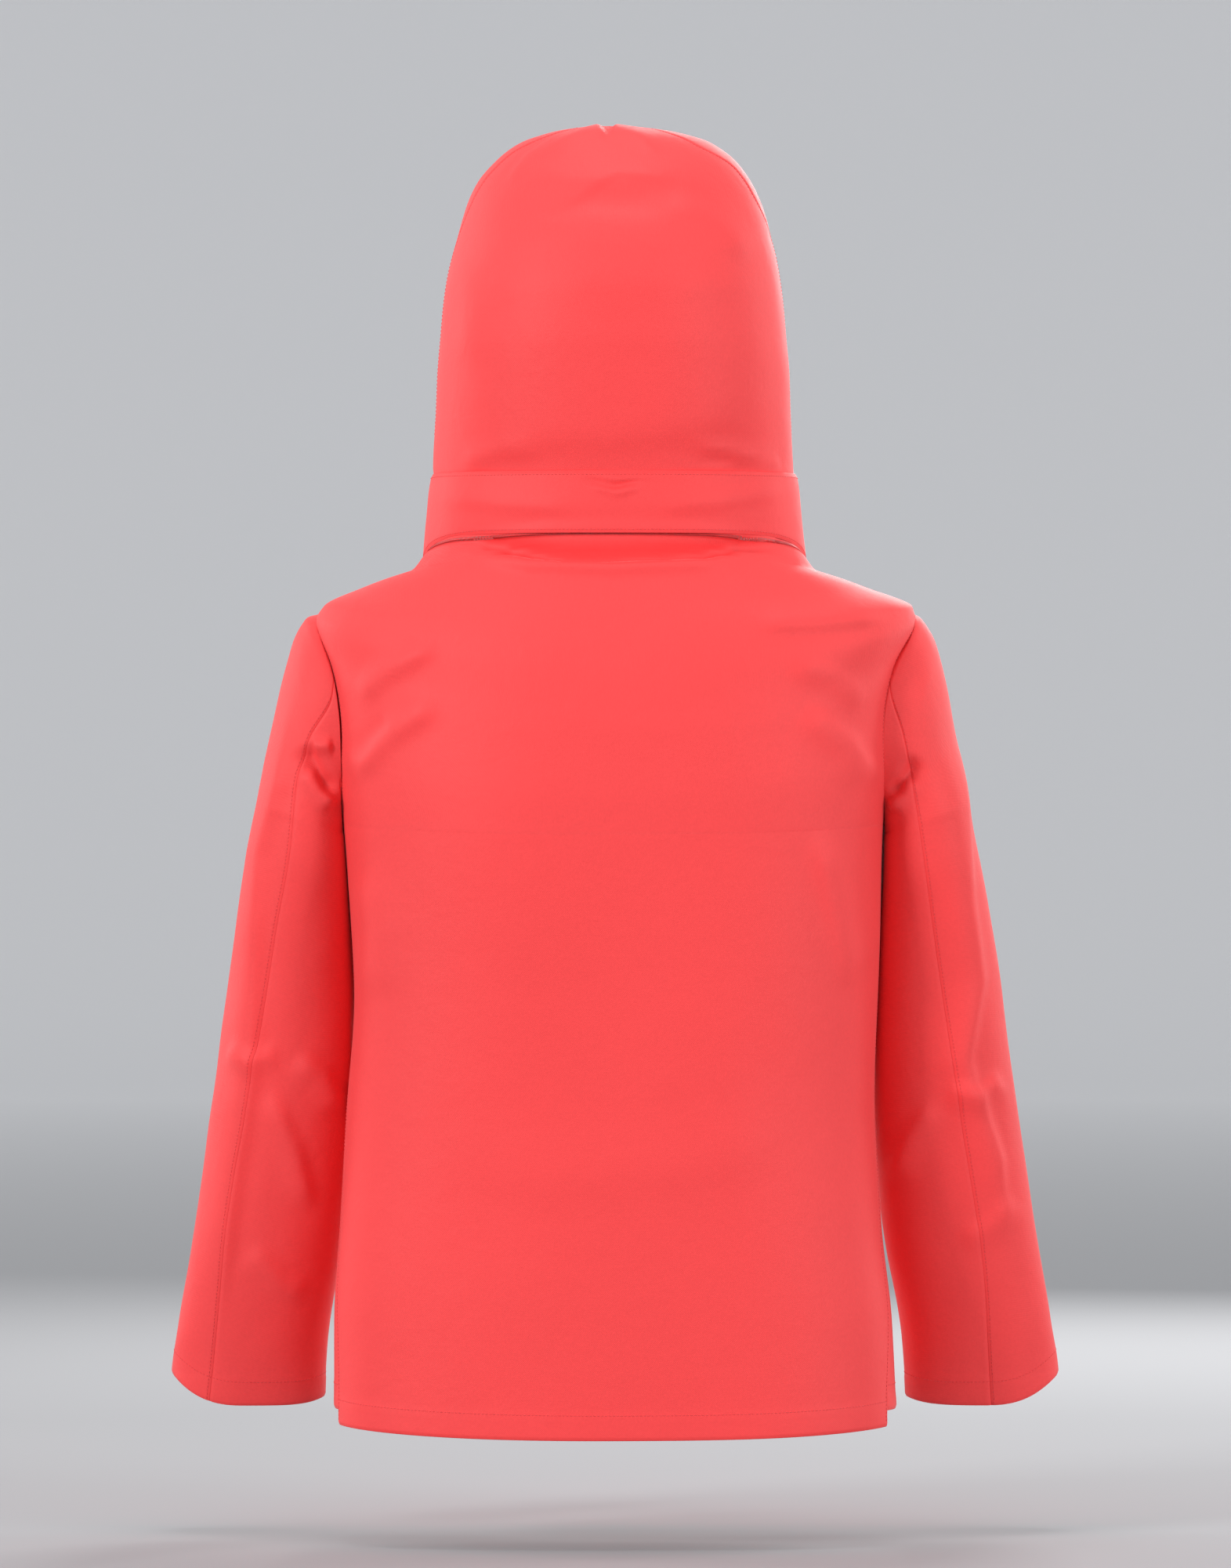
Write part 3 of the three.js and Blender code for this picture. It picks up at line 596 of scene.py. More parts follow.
def body_disp(P, N):
    X, Y, Z = P[..., 0], P[..., 1], P[..., 2]
    back = smooth((-Y - 10) / 60)
    h = 1.3 * waves(P, 3, 210, stretch=(1, 1, 0.6)) * smooth((4 - Z) / 40) * smooth((242 - np.abs(X)) / 30 + 0.25)
    h += 0.35 * waves(P, 5, 70, stretch=(1, 1, 0.5)) * smooth((-150 - Z) / 120)
    f = np.zeros(X.shape)
    f += fold(X, Z, [(-212, -118), (-182, -92), (-140, -70)], 2.3, 9, 1.3)
    f += fold(X, Z, [(-216, -182), (-184, -146), (-138, -114)], 2.8, 11, 1.3)
    f += fold(X, Z, [(-214, -160), (-180, -128)], -1.6, 8, 1.0)
    f += fold(X, Z, [(108, -56), (165, -54), (222, -48)], 1.9, 8, 1.4)
    f += fold(X, Z, [(205, -120), (176, -96), (140, -84)], 1.8, 10, 1.2)
    f += fold(X, Z, [(214, -186), (188, -150), (150, -120)], 2.4, 12, 1.3)
    f += fold(X, Z, [(163, -215), (178, -285), (190, -335), (208, -345)], 2.4, 13, 1.4)
    f += fold(X, Z, [(-208, -250), (-190, -300), (-196, -360)], 1.6, 15, 1.2)
    f += fold(X, Z, [(-150, -470), (-60, -500), (60, -490), (160, -455)], 0.9, 26, 1.2)
    f *= 1.9
    # right below the collar band the cloth runs in to a sharp valley, then rolls out over the back
    f += fold(X, Z, [(-134, 11), (-124.5, 12), (-84, 5), (-41, -1), (-3, -0.5), (74, 2.5), (106, 7.5), (130, 6), (150, -1)], -13.5, 4.6, 2.2, (0.16, 0.16))
    f += fold(X, Z, [(-118, 2), (-70, -6), (-3, -9), (74, -6), (110, 0)], 4.6, 4.6, 0.8, (0.2, 0.2))
    f += fold(X, Z, [(-154, 2), (-136, 9), (-104, 15)], -2.4, 2.6, 1.0, (0.1, 0.4))
    f += fold(X, Z, [(-152, -3), (-140, 2), (-128, 4)], 1.8, 2.6, 1.0, (0.1, 0.4))
    f += fold(X, Z, [(102, 12), (128, 8), (152, -4)], 1.6, 3.4, 1.2, (0.2, 0.1))
    h += f * back
    # front: soft drag lines from the armholes, a slack waist
    front = smooth((Y - 10) / 60)
    g = fold(np.abs(X), Z, [(214, -180), (170, -150), (110, -150)], 2.6, 12, 1.3)
    g += fold(np.abs(X), Z, [(200, -250), (150, -215), (90, -215)], 1.8, 14, 1.3)
    g += fold(X, Z, [(-190, -420), (-120, -450), (-50, -440)], 1.6, 16, 1.2)
    g += fold(X, Z, [(190, -450), (120, -480), (45, -465)], 1.8, 16, 1.2)
    near_zip = smooth((np.abs(X) - 12) / 30) * (1 - 0.85 * np.exp(-(((np.abs(X) - 128) / 22) ** 2)) * smooth((Z + 560) / 30) * smooth((-300 - Z) / 30))
    h += 1.5 * g * front * near_zip
    h = np.where(Y > 60, h * near_zip, h)
    # bonded hem: a step 22 mm above the edge
    edge_z = np.where(Y < MID_Y, lerp(cSide(0), cBackZ(0), np.clip(np.abs((Y - MID_Y) / (MID_Y - cBackY(0))), 0, 1) ** 1.8), -690.0)
    h += 0.35 * smooth((edge_z + 23 - Z) / 1.6)
    return h


VB = levels(112, 54, 38)


def body_rows(side_from, side_to, vs):
    rows = []
    for v in vs:
        a, b = side_from(v), side_to(v)
        rows.append(torso(np.linspace(a, b, 260), v))
    return rows


def back_left(v):
    h = hole_angle(v, True, True)
    return side_seam(v) + 0.03 if h is None else max(h, seam_mid(v) + 0.03)


def back_right(v):
    h = hole_angle(v, True, False)
    return 360 - (side_seam(v, False) + 0.03 if h is None else max(h, seam_mid(v) + 0.03))


back = panel("back_panel_cloth", rows_grid(body_rows(back_left, back_right, VB), 172), 1, M_SHELL, disp=body_disp, roll=(0.35, 0.35, 1, 1))
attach(back.obj, "shell")
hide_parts("back_panel", "hem_facing_back")

ZIP_EDGE = 11.5


def zip_angle(v):
    return math.degrees(math.asin(float((ZIP_EDGE / cHL(v)) ** (cPF(v) / 2))))


def zip_angle_r(v):
    return math.degrees(math.asin(float((ZIP_EDGE / cHR(v)) ** (cPF(v) / 2))))


def front_left_side(v):
    h = hole_angle(v, False, True)
    return side_seam(v) - 0.03 if h is None else min(h, seam_mid(v) - 0.03)


def front_right_side(v):
    h = hole_angle(v, False, False)
    return 360 - (side_seam(v, False) - 0.03 if h is None else min(h, seam_mid(v) - 0.03))


VF = levels(92, 46, 30, 0.0)


def front_grid(a, b):
    P = rows_grid(body_rows(a, b, VF), 82)
    # the front is cut shorter than the back: squeeze the lowest rows up to the front's own hem
    z0 = -690.5
    low = P[0, :, 2]
    lift = (z0 - low)[None, :] * (1 - smooth((P[..., 2] - low[None, :]) / 120))
    P[..., 2] += np.maximum(lift, 0)
    return P


front_l = panel("front_left_cloth", front_grid(zip_angle, front_left_side), 1, M_SHELL, disp=body_disp, roll=(1, 0.5, 1, 1))
front_r = panel("front_right_cloth", front_grid(front_right_side, lambda v: 360 - zip_angle_r(v)), 1, M_SHELL, disp=body_disp, roll=(0.5, 1, 1, 1))
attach(front_l.obj, "shell")
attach(front_r.obj, "shell")
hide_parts("front_panel_left", "hem_facing_front_left")
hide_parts("front_panel_right", "hem_facing_front_right")

# ------------------------------------------------------------------ collar band
cColL = mono([-30, 0, 22, 38, 54, 70], [157, 156.5, 155, 153.4, 152, 149.6])
cColR = mono([-30, 0, 22, 38, 54, 70], [156, 155.6, 153.6, 152, 150.5, 148.2])
cColB = mono([-30, 0, 20, 45, 70], [-119, -119.5, -120, -120.6, -120.2])


def collar(tDeg, h, top=70.0):
    t = np.radians(np.asarray(tDeg, float))
    c, s = np.cos(t), np.sin(t)
    z = lerp(neck_line(c), top, h)
    p = 2 / 2.3
    x = np.where(s > 0, -cColL(z), cColR(z)) * np.abs(s) ** p
    y = np.where(c > 0, FRONT_Y * sp(c, p), -cColB(z) * sp(c, p))
    return np.stack(np.broadcast_arrays(x, y, z), -1)


def band_disp(P, N):
    X, Y, Z = P[..., 0], P[..., 1], P[..., 2]
    bk = smooth((-Y - 20) / 50)
    h = 0.5 * waves(P, 21, 90)
    f = np.zeros(X.shape)
    f += fold(X, Z, [(-29, 64), (-2, 56), (27, 64)], -1.7, 2.8, 1.2, (0.3, 0.3))
    f += fold(X, Z, [(-22, 60), (2, 51), (24, 58)], 1.4, 3.2, 1.0, (0.3, 0.3))
    f += fold(X, Z, [(-12, 66), (4, 62), (40, 65)], 1.1, 2.2, 1.0, (0.3, 0.5))
    f += fold(X, Z, [(-150, 50), (-90, 44), (-20, 38)], 1.1, 9, 1.2)
    f += fold(X, Z, [(30, 40), (90, 46), (146, 56)], 1.3, 9, 1.2)
    f += fold(X, Z, [(-140, 16), (-60, 30), (0, 31), (70, 30), (140, 18)], -0.8, 7, 1.2)
    h += 1.5 * f * bk
    return h


edge_deg = math.degrees(math.asin((ZIP_EDGE / 152) ** 1.15))
hs = np.concatenate([[0, 0.01, 0.022, 0.04], np.linspace(0.065, 0.93, 26), [0.955, 0.972, 0.987, 1.0]])
band_rows = [collar(np.linspace(edge_deg, 360 - edge_deg, 420), h) for h in hs]
band = panel("collar_band_cloth", rows_grid(band_rows, 230), 1, M_SHELL, thick=2.6, disp=band_disp, roll_depth=1.1, roll_width=2.0)
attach(band.obj, "shell")
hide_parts("neck_band")
lin_rows = [collar(np.linspace(24, 336, 300), h, 66.0) for h in np.linspace(0.02, 1, 16)]
lining = panel("collar_lining_cloth", rows_grid(lin_rows, 150), 1, M_LINING, thick=0.9, lift=-3.2, roll_depth=0.4)
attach(lining.obj, "shell")
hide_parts("collar_lining")

# ------------------------------------------------------------------ hood
HZ = [56, 71, 86, 118, 150, 182, 214, 246, 262, 278, 294, 310, 326, 336, 342, 347, 350, 352, 353.3, 354.2, 354.8, 355]
HOOD_L = [147.5, 147.6, 147.4, 146, 145, 142, 138.6, 133, 129, 125, 120, 112, 98, 86, 75.5, 61, 50, 38.5, 29, 19, 9.5, 0.3]
HOOD_R = [146.0, 146.2, 145.8, 145, 144, 140.5, 137, 132, 128, 124, 118.2, 110, 98, 86, 76, 61.5, 50, 38.5, 29, 19, 9.5, 0.3]
HB_Z = [56, 71, 130, 150, 182, 214, 246, 262, 278, 294, 310, 326, 342, 350, 354, 354.8, 355]
HOOD_BACK = [-116, -119, -134, -137, -140, -140, -134, -129, -122, -113, -102, -87, -64, -40, -12, 2, 14.2]
HOOD_FRONT = [119, 120, 122, 124, 126, 128, 128, 128, 127, 125, 121, 114, 98, 74, 44, 28, 14.9]
OPEN_X = [111, 112, 112, 112, 112, 110, 105, 100, 92, 80, 60, 3, 0.1, 0.08, 0.06, 0.05, 0.02]
HOOD_MID = [0, 0, -8, -8, -8, -6, -4, -2, 0, 2, 4, 6, 10, 12, 14, 14, 14.5]
cHoL, cHoR = mono(HZ, HOOD_L), mono(HZ, HOOD_R)
cHoB, cHoF, cOpen, cHoM = mono(HB_Z, HOOD_BACK), mono(HB_Z, HOOD_FRONT), mono(HB_Z, OPEN_X), mono(HB_Z, HOOD_MID)
HP = 2.25


def hood(tDeg, z):
    t = np.radians(np.asarray(tDeg, float))
    z = np.asarray(z, float)
    c, s = np.cos(t), np.sin(t)
    p = 2 / HP
    m = cHoM(z)
    x = np.where(s > 0, -cHoL(z), cHoR(z)) * np.abs(s) ** p
    y = m + np.where(c > 0, cHoF(z) - m, m - cHoB(z)) * sp(c, p)
    return np.stack(np.broadcast_arrays(x, y, z), -1)


def open_angle(z, left):
    half = float(cHoL(z) if left else cHoR(z))
    return math.degrees(math.asin(min(0.9995, float(cOpen(z)) / half) ** (HP / 2)))


cShL = mono([56, 150, 221, 259, 285, 310, 330, 342, 350, 353], [95, 93, 89, 84, 76, 70, 64, 50, 42, 40])
cShR = mono([56, 190, 221, 259, 291, 317, 336, 346, 352, 353], [95, 93, 90, 85, 72, 66, 48, 43, 41, 40])


def hood_disp(P, N):
    X, Y, Z = P[..., 0], P[..., 1], P[..., 2]
    bk = smooth((-Y + 10) / 50)
    h = 0.8 * waves(P, 31, 150)
    f = np.zeros(X.shape)
    # creases running out from the crown, and the pinch where three panels meet
    f += fold(X, Z, [(-8, 351), (-38, 338), (-66, 322)], 2.0, 7, 1.3, (0.1, 0.6))
    f += fold(X, Z, [(-4, 350), (22, 338), (40, 322)], 1.8, 7, 1.3, (0.1, 0.6))
    f += fold(X, Z, [(-96, 296), (-50, 306), (0, 303), (48, 308), (96, 294)], 1.5, 12, 1.3)
    f += fold(X, Z, [(-80, 276), (-20, 286), (50, 282)], -1.2, 12, 1.2)
    f += fold(X, Z, [(40, 286), (84, 268), (112, 240)], 1.4, 12, 1.2)
    f += fold(X, Z, [(-128, 250), (-118, 200), (-122, 150)], 1.3, 12, 1.2)
    # the cloth gathers a little where it enters the band
    f += fold(X, Z, [(-128, 76), (-90, 86), (-48, 84)], 1.6, 8, 1.3, (0.2, 0.4))
    f += fold(X, Z, [(-132, 110), (-80, 98), (-10, 96), (60, 104), (128, 122)], 1.4, 16, 1.3)
    f *= 1.7
    f += fold(X, Z, [(-62, 292), (-52, 284), (-30, 292), (2, 309), (34, 306), (52, 300)], 1.9, 7, 1.6)
    f += fold(X, Z, [(-36, 348), (-70, 326), (-90, 300)], 1.2, 5, 1.4)
    f += fold(X, Z, [(52, 91), (87, 84.5), (117, 78), (137, 75.5)], 3.4, 4.6, 1.7, (0.35, 0.1))
    f += fold(X, Z, [(60, 84), (90, 78.5), (118, 73)], -1.6, 2.6, 1.0, (0.3, 0.2))
    f += fold(X, Z, [(104, 84), (122, 81), (139, 83)], -1.8, 3.0, 1.0, (0.3, 0.2))
    h += f * bk
    fr = smooth((Y - 0) / 40)
    h += fr * (fold(Y, Z, [(10, 110), (50, 130), (85, 165)], 2.0, 10, 1.3) + fold(Y, Z, [(5, 180), (45, 195), (80, 230)], 1.6, 11, 1.3))
    h *= smooth((Z - 67) / 9)
    return h


def hood_z(z0, z1, n):
    """rows that crowd together towards the crown"""
    e = np.linspace(((355 - z0) / 299) ** (1 / 2.2), max((355 - z1) / 299, 0) ** (1 / 2.2), n)
    return 355 - 299 * e**2.2


hood_parts = []
zs = np.concatenate([hood_z(58, 351.4, 100), [351.75, 352.0]])
rows = [hood(np.linspace(180 - float(cShL(z)), 180 + float(cShR(z)), 300), z) for z in zs]
hood_back = panel("hood_back_cloth", rows_grid(rows, 130), 1, M_SHELL, disp=hood_disp, roll=(1, 1, 0, 1))
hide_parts("hood_back_panel", "hood_lower_panel")
zt = np.concatenate([hood_z(58, 351.6, 104), [351.85, 352.03]])
zc = np.concatenate([[352.04, 352.1], hood_z(352.25, 354.998, 22)])


def side_end(z, left):
    if z <= 352.035:
        return 180 - float((cShL if left else cShR)(z)) - 0.12
    return 179.97


rows = [hood(np.linspace(open_angle(z, True), side_end(z, True), 260), z) for z in zt]
hood_left = panel("hood_side_left_cloth", rows_grid(rows, 72), 1, M_SHELL, disp=hood_disp, roll=(1, 1, 0, 0))
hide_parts("hood_side_left")
rows = [hood(np.linspace(360 - side_end(z, False), 360 - open_angle(z, False), 260), z) for z in zt]
hood_right = panel("hood_side_right_cloth", rows_grid(rows, 72), 1, M_SHELL, disp=hood_disp, roll=(1, 1, 0, 0))
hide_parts("hood_side_right")
rows = [hood(np.linspace(open_angle(z, True), 179.97, 260), z) for z in zc]
crown_l = panel("hood_crown_left_cloth", rows_grid(rows, 72), 1, M_SHELL, disp=hood_disp, roll=(0.6, 0.6, 0, 0))
rows = [hood(np.linspace(180.03, 360 - open_angle(z, False), 260), z) for z in zc]
crown_r = panel("hood_crown_right_cloth", rows_grid(rows, 72), 1, M_SHELL, disp=hood_disp, roll=(0.6, 0.6, 0, 0))
hood_parts += [hood_back.obj, hood_left.obj, hood_right.obj, crown_l.obj, crown_r.obj]

# bound edge of the face opening
ze = np.linspace(64, 327.5, 120)
left_edge = np.array([hood(open_angle(z, True), z) for z in ze])
right_edge = np.array([hood(360 - open_angle(z, False), z) for z in ze])
edge = np.concatenate([left_edge, right_edge[::-1]])
s = np.concatenate([[0], np.cumsum(np.linalg.norm(np.diff(edge, axis=0), axis=1))])
at = np.linspace(0, s[-1], 260)
edge = np.stack([np.interp(at, s, edge[:, i]) for i in range(3)], 1)
for _ in range(6):
    edge[1:-1] = (edge[:-2] + 2 * edge[1:-1] + edge[2:]) / 4
binding = tube("face_opening_binding", edge, 2.1, M_WEB, n=10, flat=0.8)
hood_parts.append(binding)

# visor: two laminated layers over a stiffener on the real jacket, made here as one panel 2.4 mm thick
us = np.linspace(-1, 1, 70)
brim_rows = []
for w in np.concatenate([[0, 0.03, 0.07], np.linspace(0.12, 0.9, 14), [0.95, 0.98, 1.0]]):
    a = us
    drop = 3.0 * (1 - a * a) * math.sin(w * math.pi) * -0.6
    brim_rows.append(np.stack([a * (87 - 3 * w), 113.5 - 14 * a * a + w * 31 * (1 - 0.62 * a * a), 331.5 - 36 * np.abs(a) ** 1.9 - w * 9 - drop], 1))
brim = panel("hood_visor_cloth", np.array(brim_rows), 1, M_SHELL, thick=2.4, roll_depth=0.8)
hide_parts("hood_brim")
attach(brim.obj, "hood")

# ------------------------------------------------------------------ sleeves
FA = [0, 5, 10, 20, 30, 45, 60, 75, 90]
cFz = mono(FA, [AZ + RZ, -46.2, -51.5, -64.5, -80, -107, -138, -169, -200])
VZ = [-695, -640, -570, -500, -420, -346, -282, -235, -200]
cOutL = mono(VZ, [366.5, 361.5, 350, 338.6, 327.6, 317.2, 306.4, 297.0, 289.8])
cOutR = mono(VZ, [365.5, 361, 350, 338.5, 327.6, 317.2, 306.2, 296.8, 289.4])
cIn = mono(VZ, [239.5, 236.8, 225, 215.5, 210, 209.5, 211, 213, 215])
cHy = mono(VZ, [41, 45, 51, 56, 61, 65, 68, 70, 70])
cCy = mono(VZ, [88, 78, 65, 54, 43, 36, 25, 15, 9])
cWeightIn = mono([0, 20, 45, 90, 140, 190, 230], [0, 0.02, 0.10, 0.38, 0.72, 0.93, 1.0])
cWeightOut = mono([0, 20, 45, 90, 130, 180], [0, 0.05, 0.28, 0.72, 0.93, 1.0])
Q_END = 90 + 493.6


def x_torso_exact(y, z, left):
    """x of the torso's surface at (y, z) in the side view"""
    y, z = np.asarray(y, float), np.asarray(z, float)
    lo, hi = np.zeros(y.shape), np.full(y.shape, 10.0)
    for _ in range(45):
        m = (lo + hi) / 2
        f = np.where(y > MID_Y, (y - MID_Y) / (FRONT_Y - MID_Y), (MID_Y - y) / (MID_Y - cBackY(m)))
        pw = np.where(y > MID_Y, cPF(m), cP(m)) / 2
        c = np.clip(f, 0, 1) ** pw
        w = c**1.6
        zz = lerp(cSide(m), np.where(y > MID_Y, cFrontZ(m), cBackZ(m)), w)
        low = zz < z
        lo, hi = np.where(low, m, lo), np.where(low, hi, m)
    m = (lo + hi) / 2
    f = np.where(y > MID_Y, (y - MID_Y) / (FRONT_Y - MID_Y), (MID_Y - y) / (MID_Y - cBackY(m)))
    pw = np.where(y > MID_Y, cPF(m), cP(m)) / 2
    c = np.clip(f, 0, 1) ** pw
    s = np.sqrt(np.maximum(1 - c * c, 0))
    return (cHL(m) if left else cHR(m)) * s ** (1 / pw)


WY, WZ = np.linspace(-149, 119.5, 150), np.linspace(-700, -12, 260)
WALL = {k: x_torso_exact(*np.meshgrid(WY, WZ), k) for k in (True, False)}


def x_torso(y, z, left):
    """the same from a table, for speed"""
    fy = np.clip((np.asarray(y, float) - WY[0]) / (WY[1] - WY[0]), 0, len(WY) - 1.001)
    fz = np.clip((np.asarray(z, float) - WZ[0]) / (WZ[1] - WZ[0]), 0, len(WZ) - 1.001)
    i, j = fy.astype(int), fz.astype(int)
    a, b = fy - i, fz - j
    T = WALL[left]
    return (T[j, i] * (1 - a) + T[j, i + 1] * a) * (1 - b) + (T[j + 1, i] * (1 - a) + T[j + 1, i + 1] * a) * b


cFxL = mono(FA, [float(x_torso(AY, AZ + RZ, True)), 250, 254.8, 261.8, 266.4, 273.4, 279.6, 285.0, 289.8])
cFxR = mono(FA, [float(x_torso(AY, AZ + RZ, False)), 248.5, 253.2, 260.8, 265.6, 272.0, 277.6, 284.0, 289.4])


def sleeve_ring(left, tDeg, q):
    t = np.radians(np.asarray(tDeg, float))
    c, s = np.cos(t), np.sin(t)
    p = 2 / 2.15
    k = (1 + sp(s, p)) / 2
    cOut = cOutL if left else cOutR
    if q <= 90:
        ox, oz = float((cFxL if left else cFxR)(q)), float(cFz(q))
        ix, iz = 215.0, lerp(AZ - RZ, -224, q / 90)
        cy, hy = lerp(AY, 9, q / 90), lerp(RY, 70, q / 90)
    else:
        zo = -200 - (q - 90)
        zi = zo - 24 * (1 - float(smooth((q - 90) / 110)))
        ox, oz = float(cOut(zo)), zo
        ix, iz = float(cIn(zi)), zi
        cy, hy = float(cCy(zo)), float(cHy(zo))
    x = ix + (ox - ix) * k
    z = iz + (oz - iz) * k
    y = cy + hy * sp(c, p)
    if q <= 26:
        z0 = AZ + RZ * sp(s, 0.97)
        y0 = AY + RY * sp(c, 0.97)
        x0 = x_torso(y0, z0, left)
        f = float(smooth(q / 26.0)) * 0.5 + 0.5 * (q / 26.0)
        if q > 0:
            f = f + (1 - f) * k**4
        x, y, z = lerp(x0, x, f), lerp(y0, y, f), lerp(z0, z, f)
    # the cuff's rim rises on the outside and a little on the inside
    e = float(smooth((q - (Q_END - 70)) / 70))
    z = z + e * (25 * np.maximum(s, 0) ** 2.4 + 6 * np.maximum(-s, 0) ** 4 + 3 * np.maximum(c, 0) ** 2)
    # the sleeve lies against the side of the body, and never goes into it
    near = (z < AZ + RZ) & (z > -700) & (np.abs(y - MID_Y) < 120)
    yy, zz = np.where(near, y, MID_Y), np.where(near, z, -300.0)
    wall = x_torso(yy, zz, left) + 0.9 * float(smooth(q / 14.0))
    inward = near & (s < 0.35)
    x = np.where(inward, np.maximum(x, wall), x)
    side = -1 if left else 1
    return np.stack([side * x, y, z], -1)


Q_ROWS = np.concatenate([[0, 0.6, 1.4, 2.6], np.linspace(4, 90, 44), np.linspace(93, Q_END - 26, 98), np.linspace(Q_END - 23, Q_END - 3, 7), [Q_END - 2, Q_END - 1, Q_END - 0.4, Q_END]])


SEAM_L = mono([-700, -675, -566, -502, -451, -394, -310, -234, -182, -147, -112, -80], [334, 331.5, 319, 309, 299.5, 290, 277, 263, 258, 248, 229, 226])
SEAM_R = mono([-700, -675, -592, -450, -310, -246, -182, -144, -106, -80], [310, 308, 303, 281, 260, 251, 241, 234, 223, 221])


def seam_back(q, left):
    """angle at which a ring of the sleeve crosses the rear seam, found from the seam's place in the back view"""
    S = SEAM_L if left else SEAM_R
    t = np.linspace(95, 262, 240)
    P0 = sleeve_ring(left, t, q)
    d = np.abs(P0[:, 0]) - S(P0[:, 2])
    i = int(np.argmax(d <= 0))
    if i == 0:
        return float(t[0] if d[0] <= 0 else t[-1])
    return float(t[i - 1] + (t[i] - t[i - 1]) * d[i - 1] / (d[i - 1] - d[i]))


SEAM_IN = 306.0


def sleeve_disp(left):
    def f(P, N):
        X, Y, Z = np.abs(P[..., 0]), P[..., 1], P[..., 2]
        low = smooth((-190 - Z) / 60)
        bk = smooth((-Y + cCy(Z) + 6) / 30)
        h = (0.8 * waves(P, 41 if left else 43, 130, stretch=(1, 1, 0.55)) + 0.3 * waves(P, 47 if left else 49, 45, stretch=(1, 1, 0.7))) * (0.3 + 0.7 * low)
        g = np.zeros(X.shape)
        if left:
            g += fold(X, Z, [(266, -112), (272, -182), (289, -240), (294, -342), (297, -426), (310, -502), (329, -640)], 2.6, 11, 1.6, (0.15, 0.2))
            g += fold(X, Z, [(284, -430), (262, -480), (248, -536)], 2.2, 9, 1.4)
            g += fold(X, Z, [(262, -404), (238, -420), (222, -452)], 2.2, 9, 1.4)
            g += fold(X, Z, [(316, -396), (296, -408), (272, -400)], 1.8, 8, 1.4)
            g += fold(X, Z, [(252, -150), (238, -176), (226, -192)], -3.4, 8, 1.2)
            g += fold(X, Z, [(250, -168), (240, -186), (228, -203)], 2.6, 6, 1.3)
            g += fold(X, Z, [(246, -152), (228, -150)], 2.4, 5, 1.3)
            g += fold(X, Z, [(300, -560), (272, -590), (248, -600)], 1.4, 10, 1.3)
        else:
            g += fold(X, Z, [(277, -140), (281, -200), (285, -278), (295, -342), (284, -408), (295, -442), (311, -490), (321, -570)], 2.6, 11, 1.0 / 1.6, (0.15, 0.2))
            g += fold(X, Z, [(318, -420), (296, -436), (270, -430)], 2.3, 9, 1.4)
            g += fold(X, Z, [(262, -440), (242, -470), (226, -510)], 1.8, 9, 1.4)
            g += fold(X, Z, [(245, -160), (234, -182), (224, -194)], -3.2, 7, 1.2)
            g += fold(X, Z, [(240, -176), (232, -192), (224, -206)], 2.4, 6, 1.3)
            g += fold(X, Z, [(330, -520), (305, -545), (280, -556)], 1.3, 10, 1.3)
        h += 2.3 * g * bk
        fr = smooth((Y - cCy(Z) - 5) / 30)
        e = fold(X, Z, [(216, -372), (250, -388), (296, -382)], 3.4, 9, 1.4) + fold(X, Z, [(216, -410), (256, -420), (306, -404)], -2.6, 9, 1.2)
        e += fold(X, Z, [(218, -446), (262, -450), (312, -430)], 3.0, 10, 1.4) + fold(X, Z, [(226, -500), (268, -496), (316, -470)], 2.0, 11, 1.3)
        e += fold(X, Z, [(228, -210), (250, -250), (285, -270)], 2.6, 10, 1.3) + fold(X, Z, [(226, -260), (250, -300), (290, -318)], 2.0, 11, 1.3)
        h += 1.3 * e * fr
        h *= 0.25 + 0.75 * smooth((-52 - Z) / 30)
        h += 0.35 * smooth((-669 - Z) / 1.6)  # hemmed cuff
        return h

    return f


def blend_by(obj, weights):
    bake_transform(obj)


def weights_at(q, k):
    return lerp(cWeightIn(q), cWeightOut(q), smooth(k))


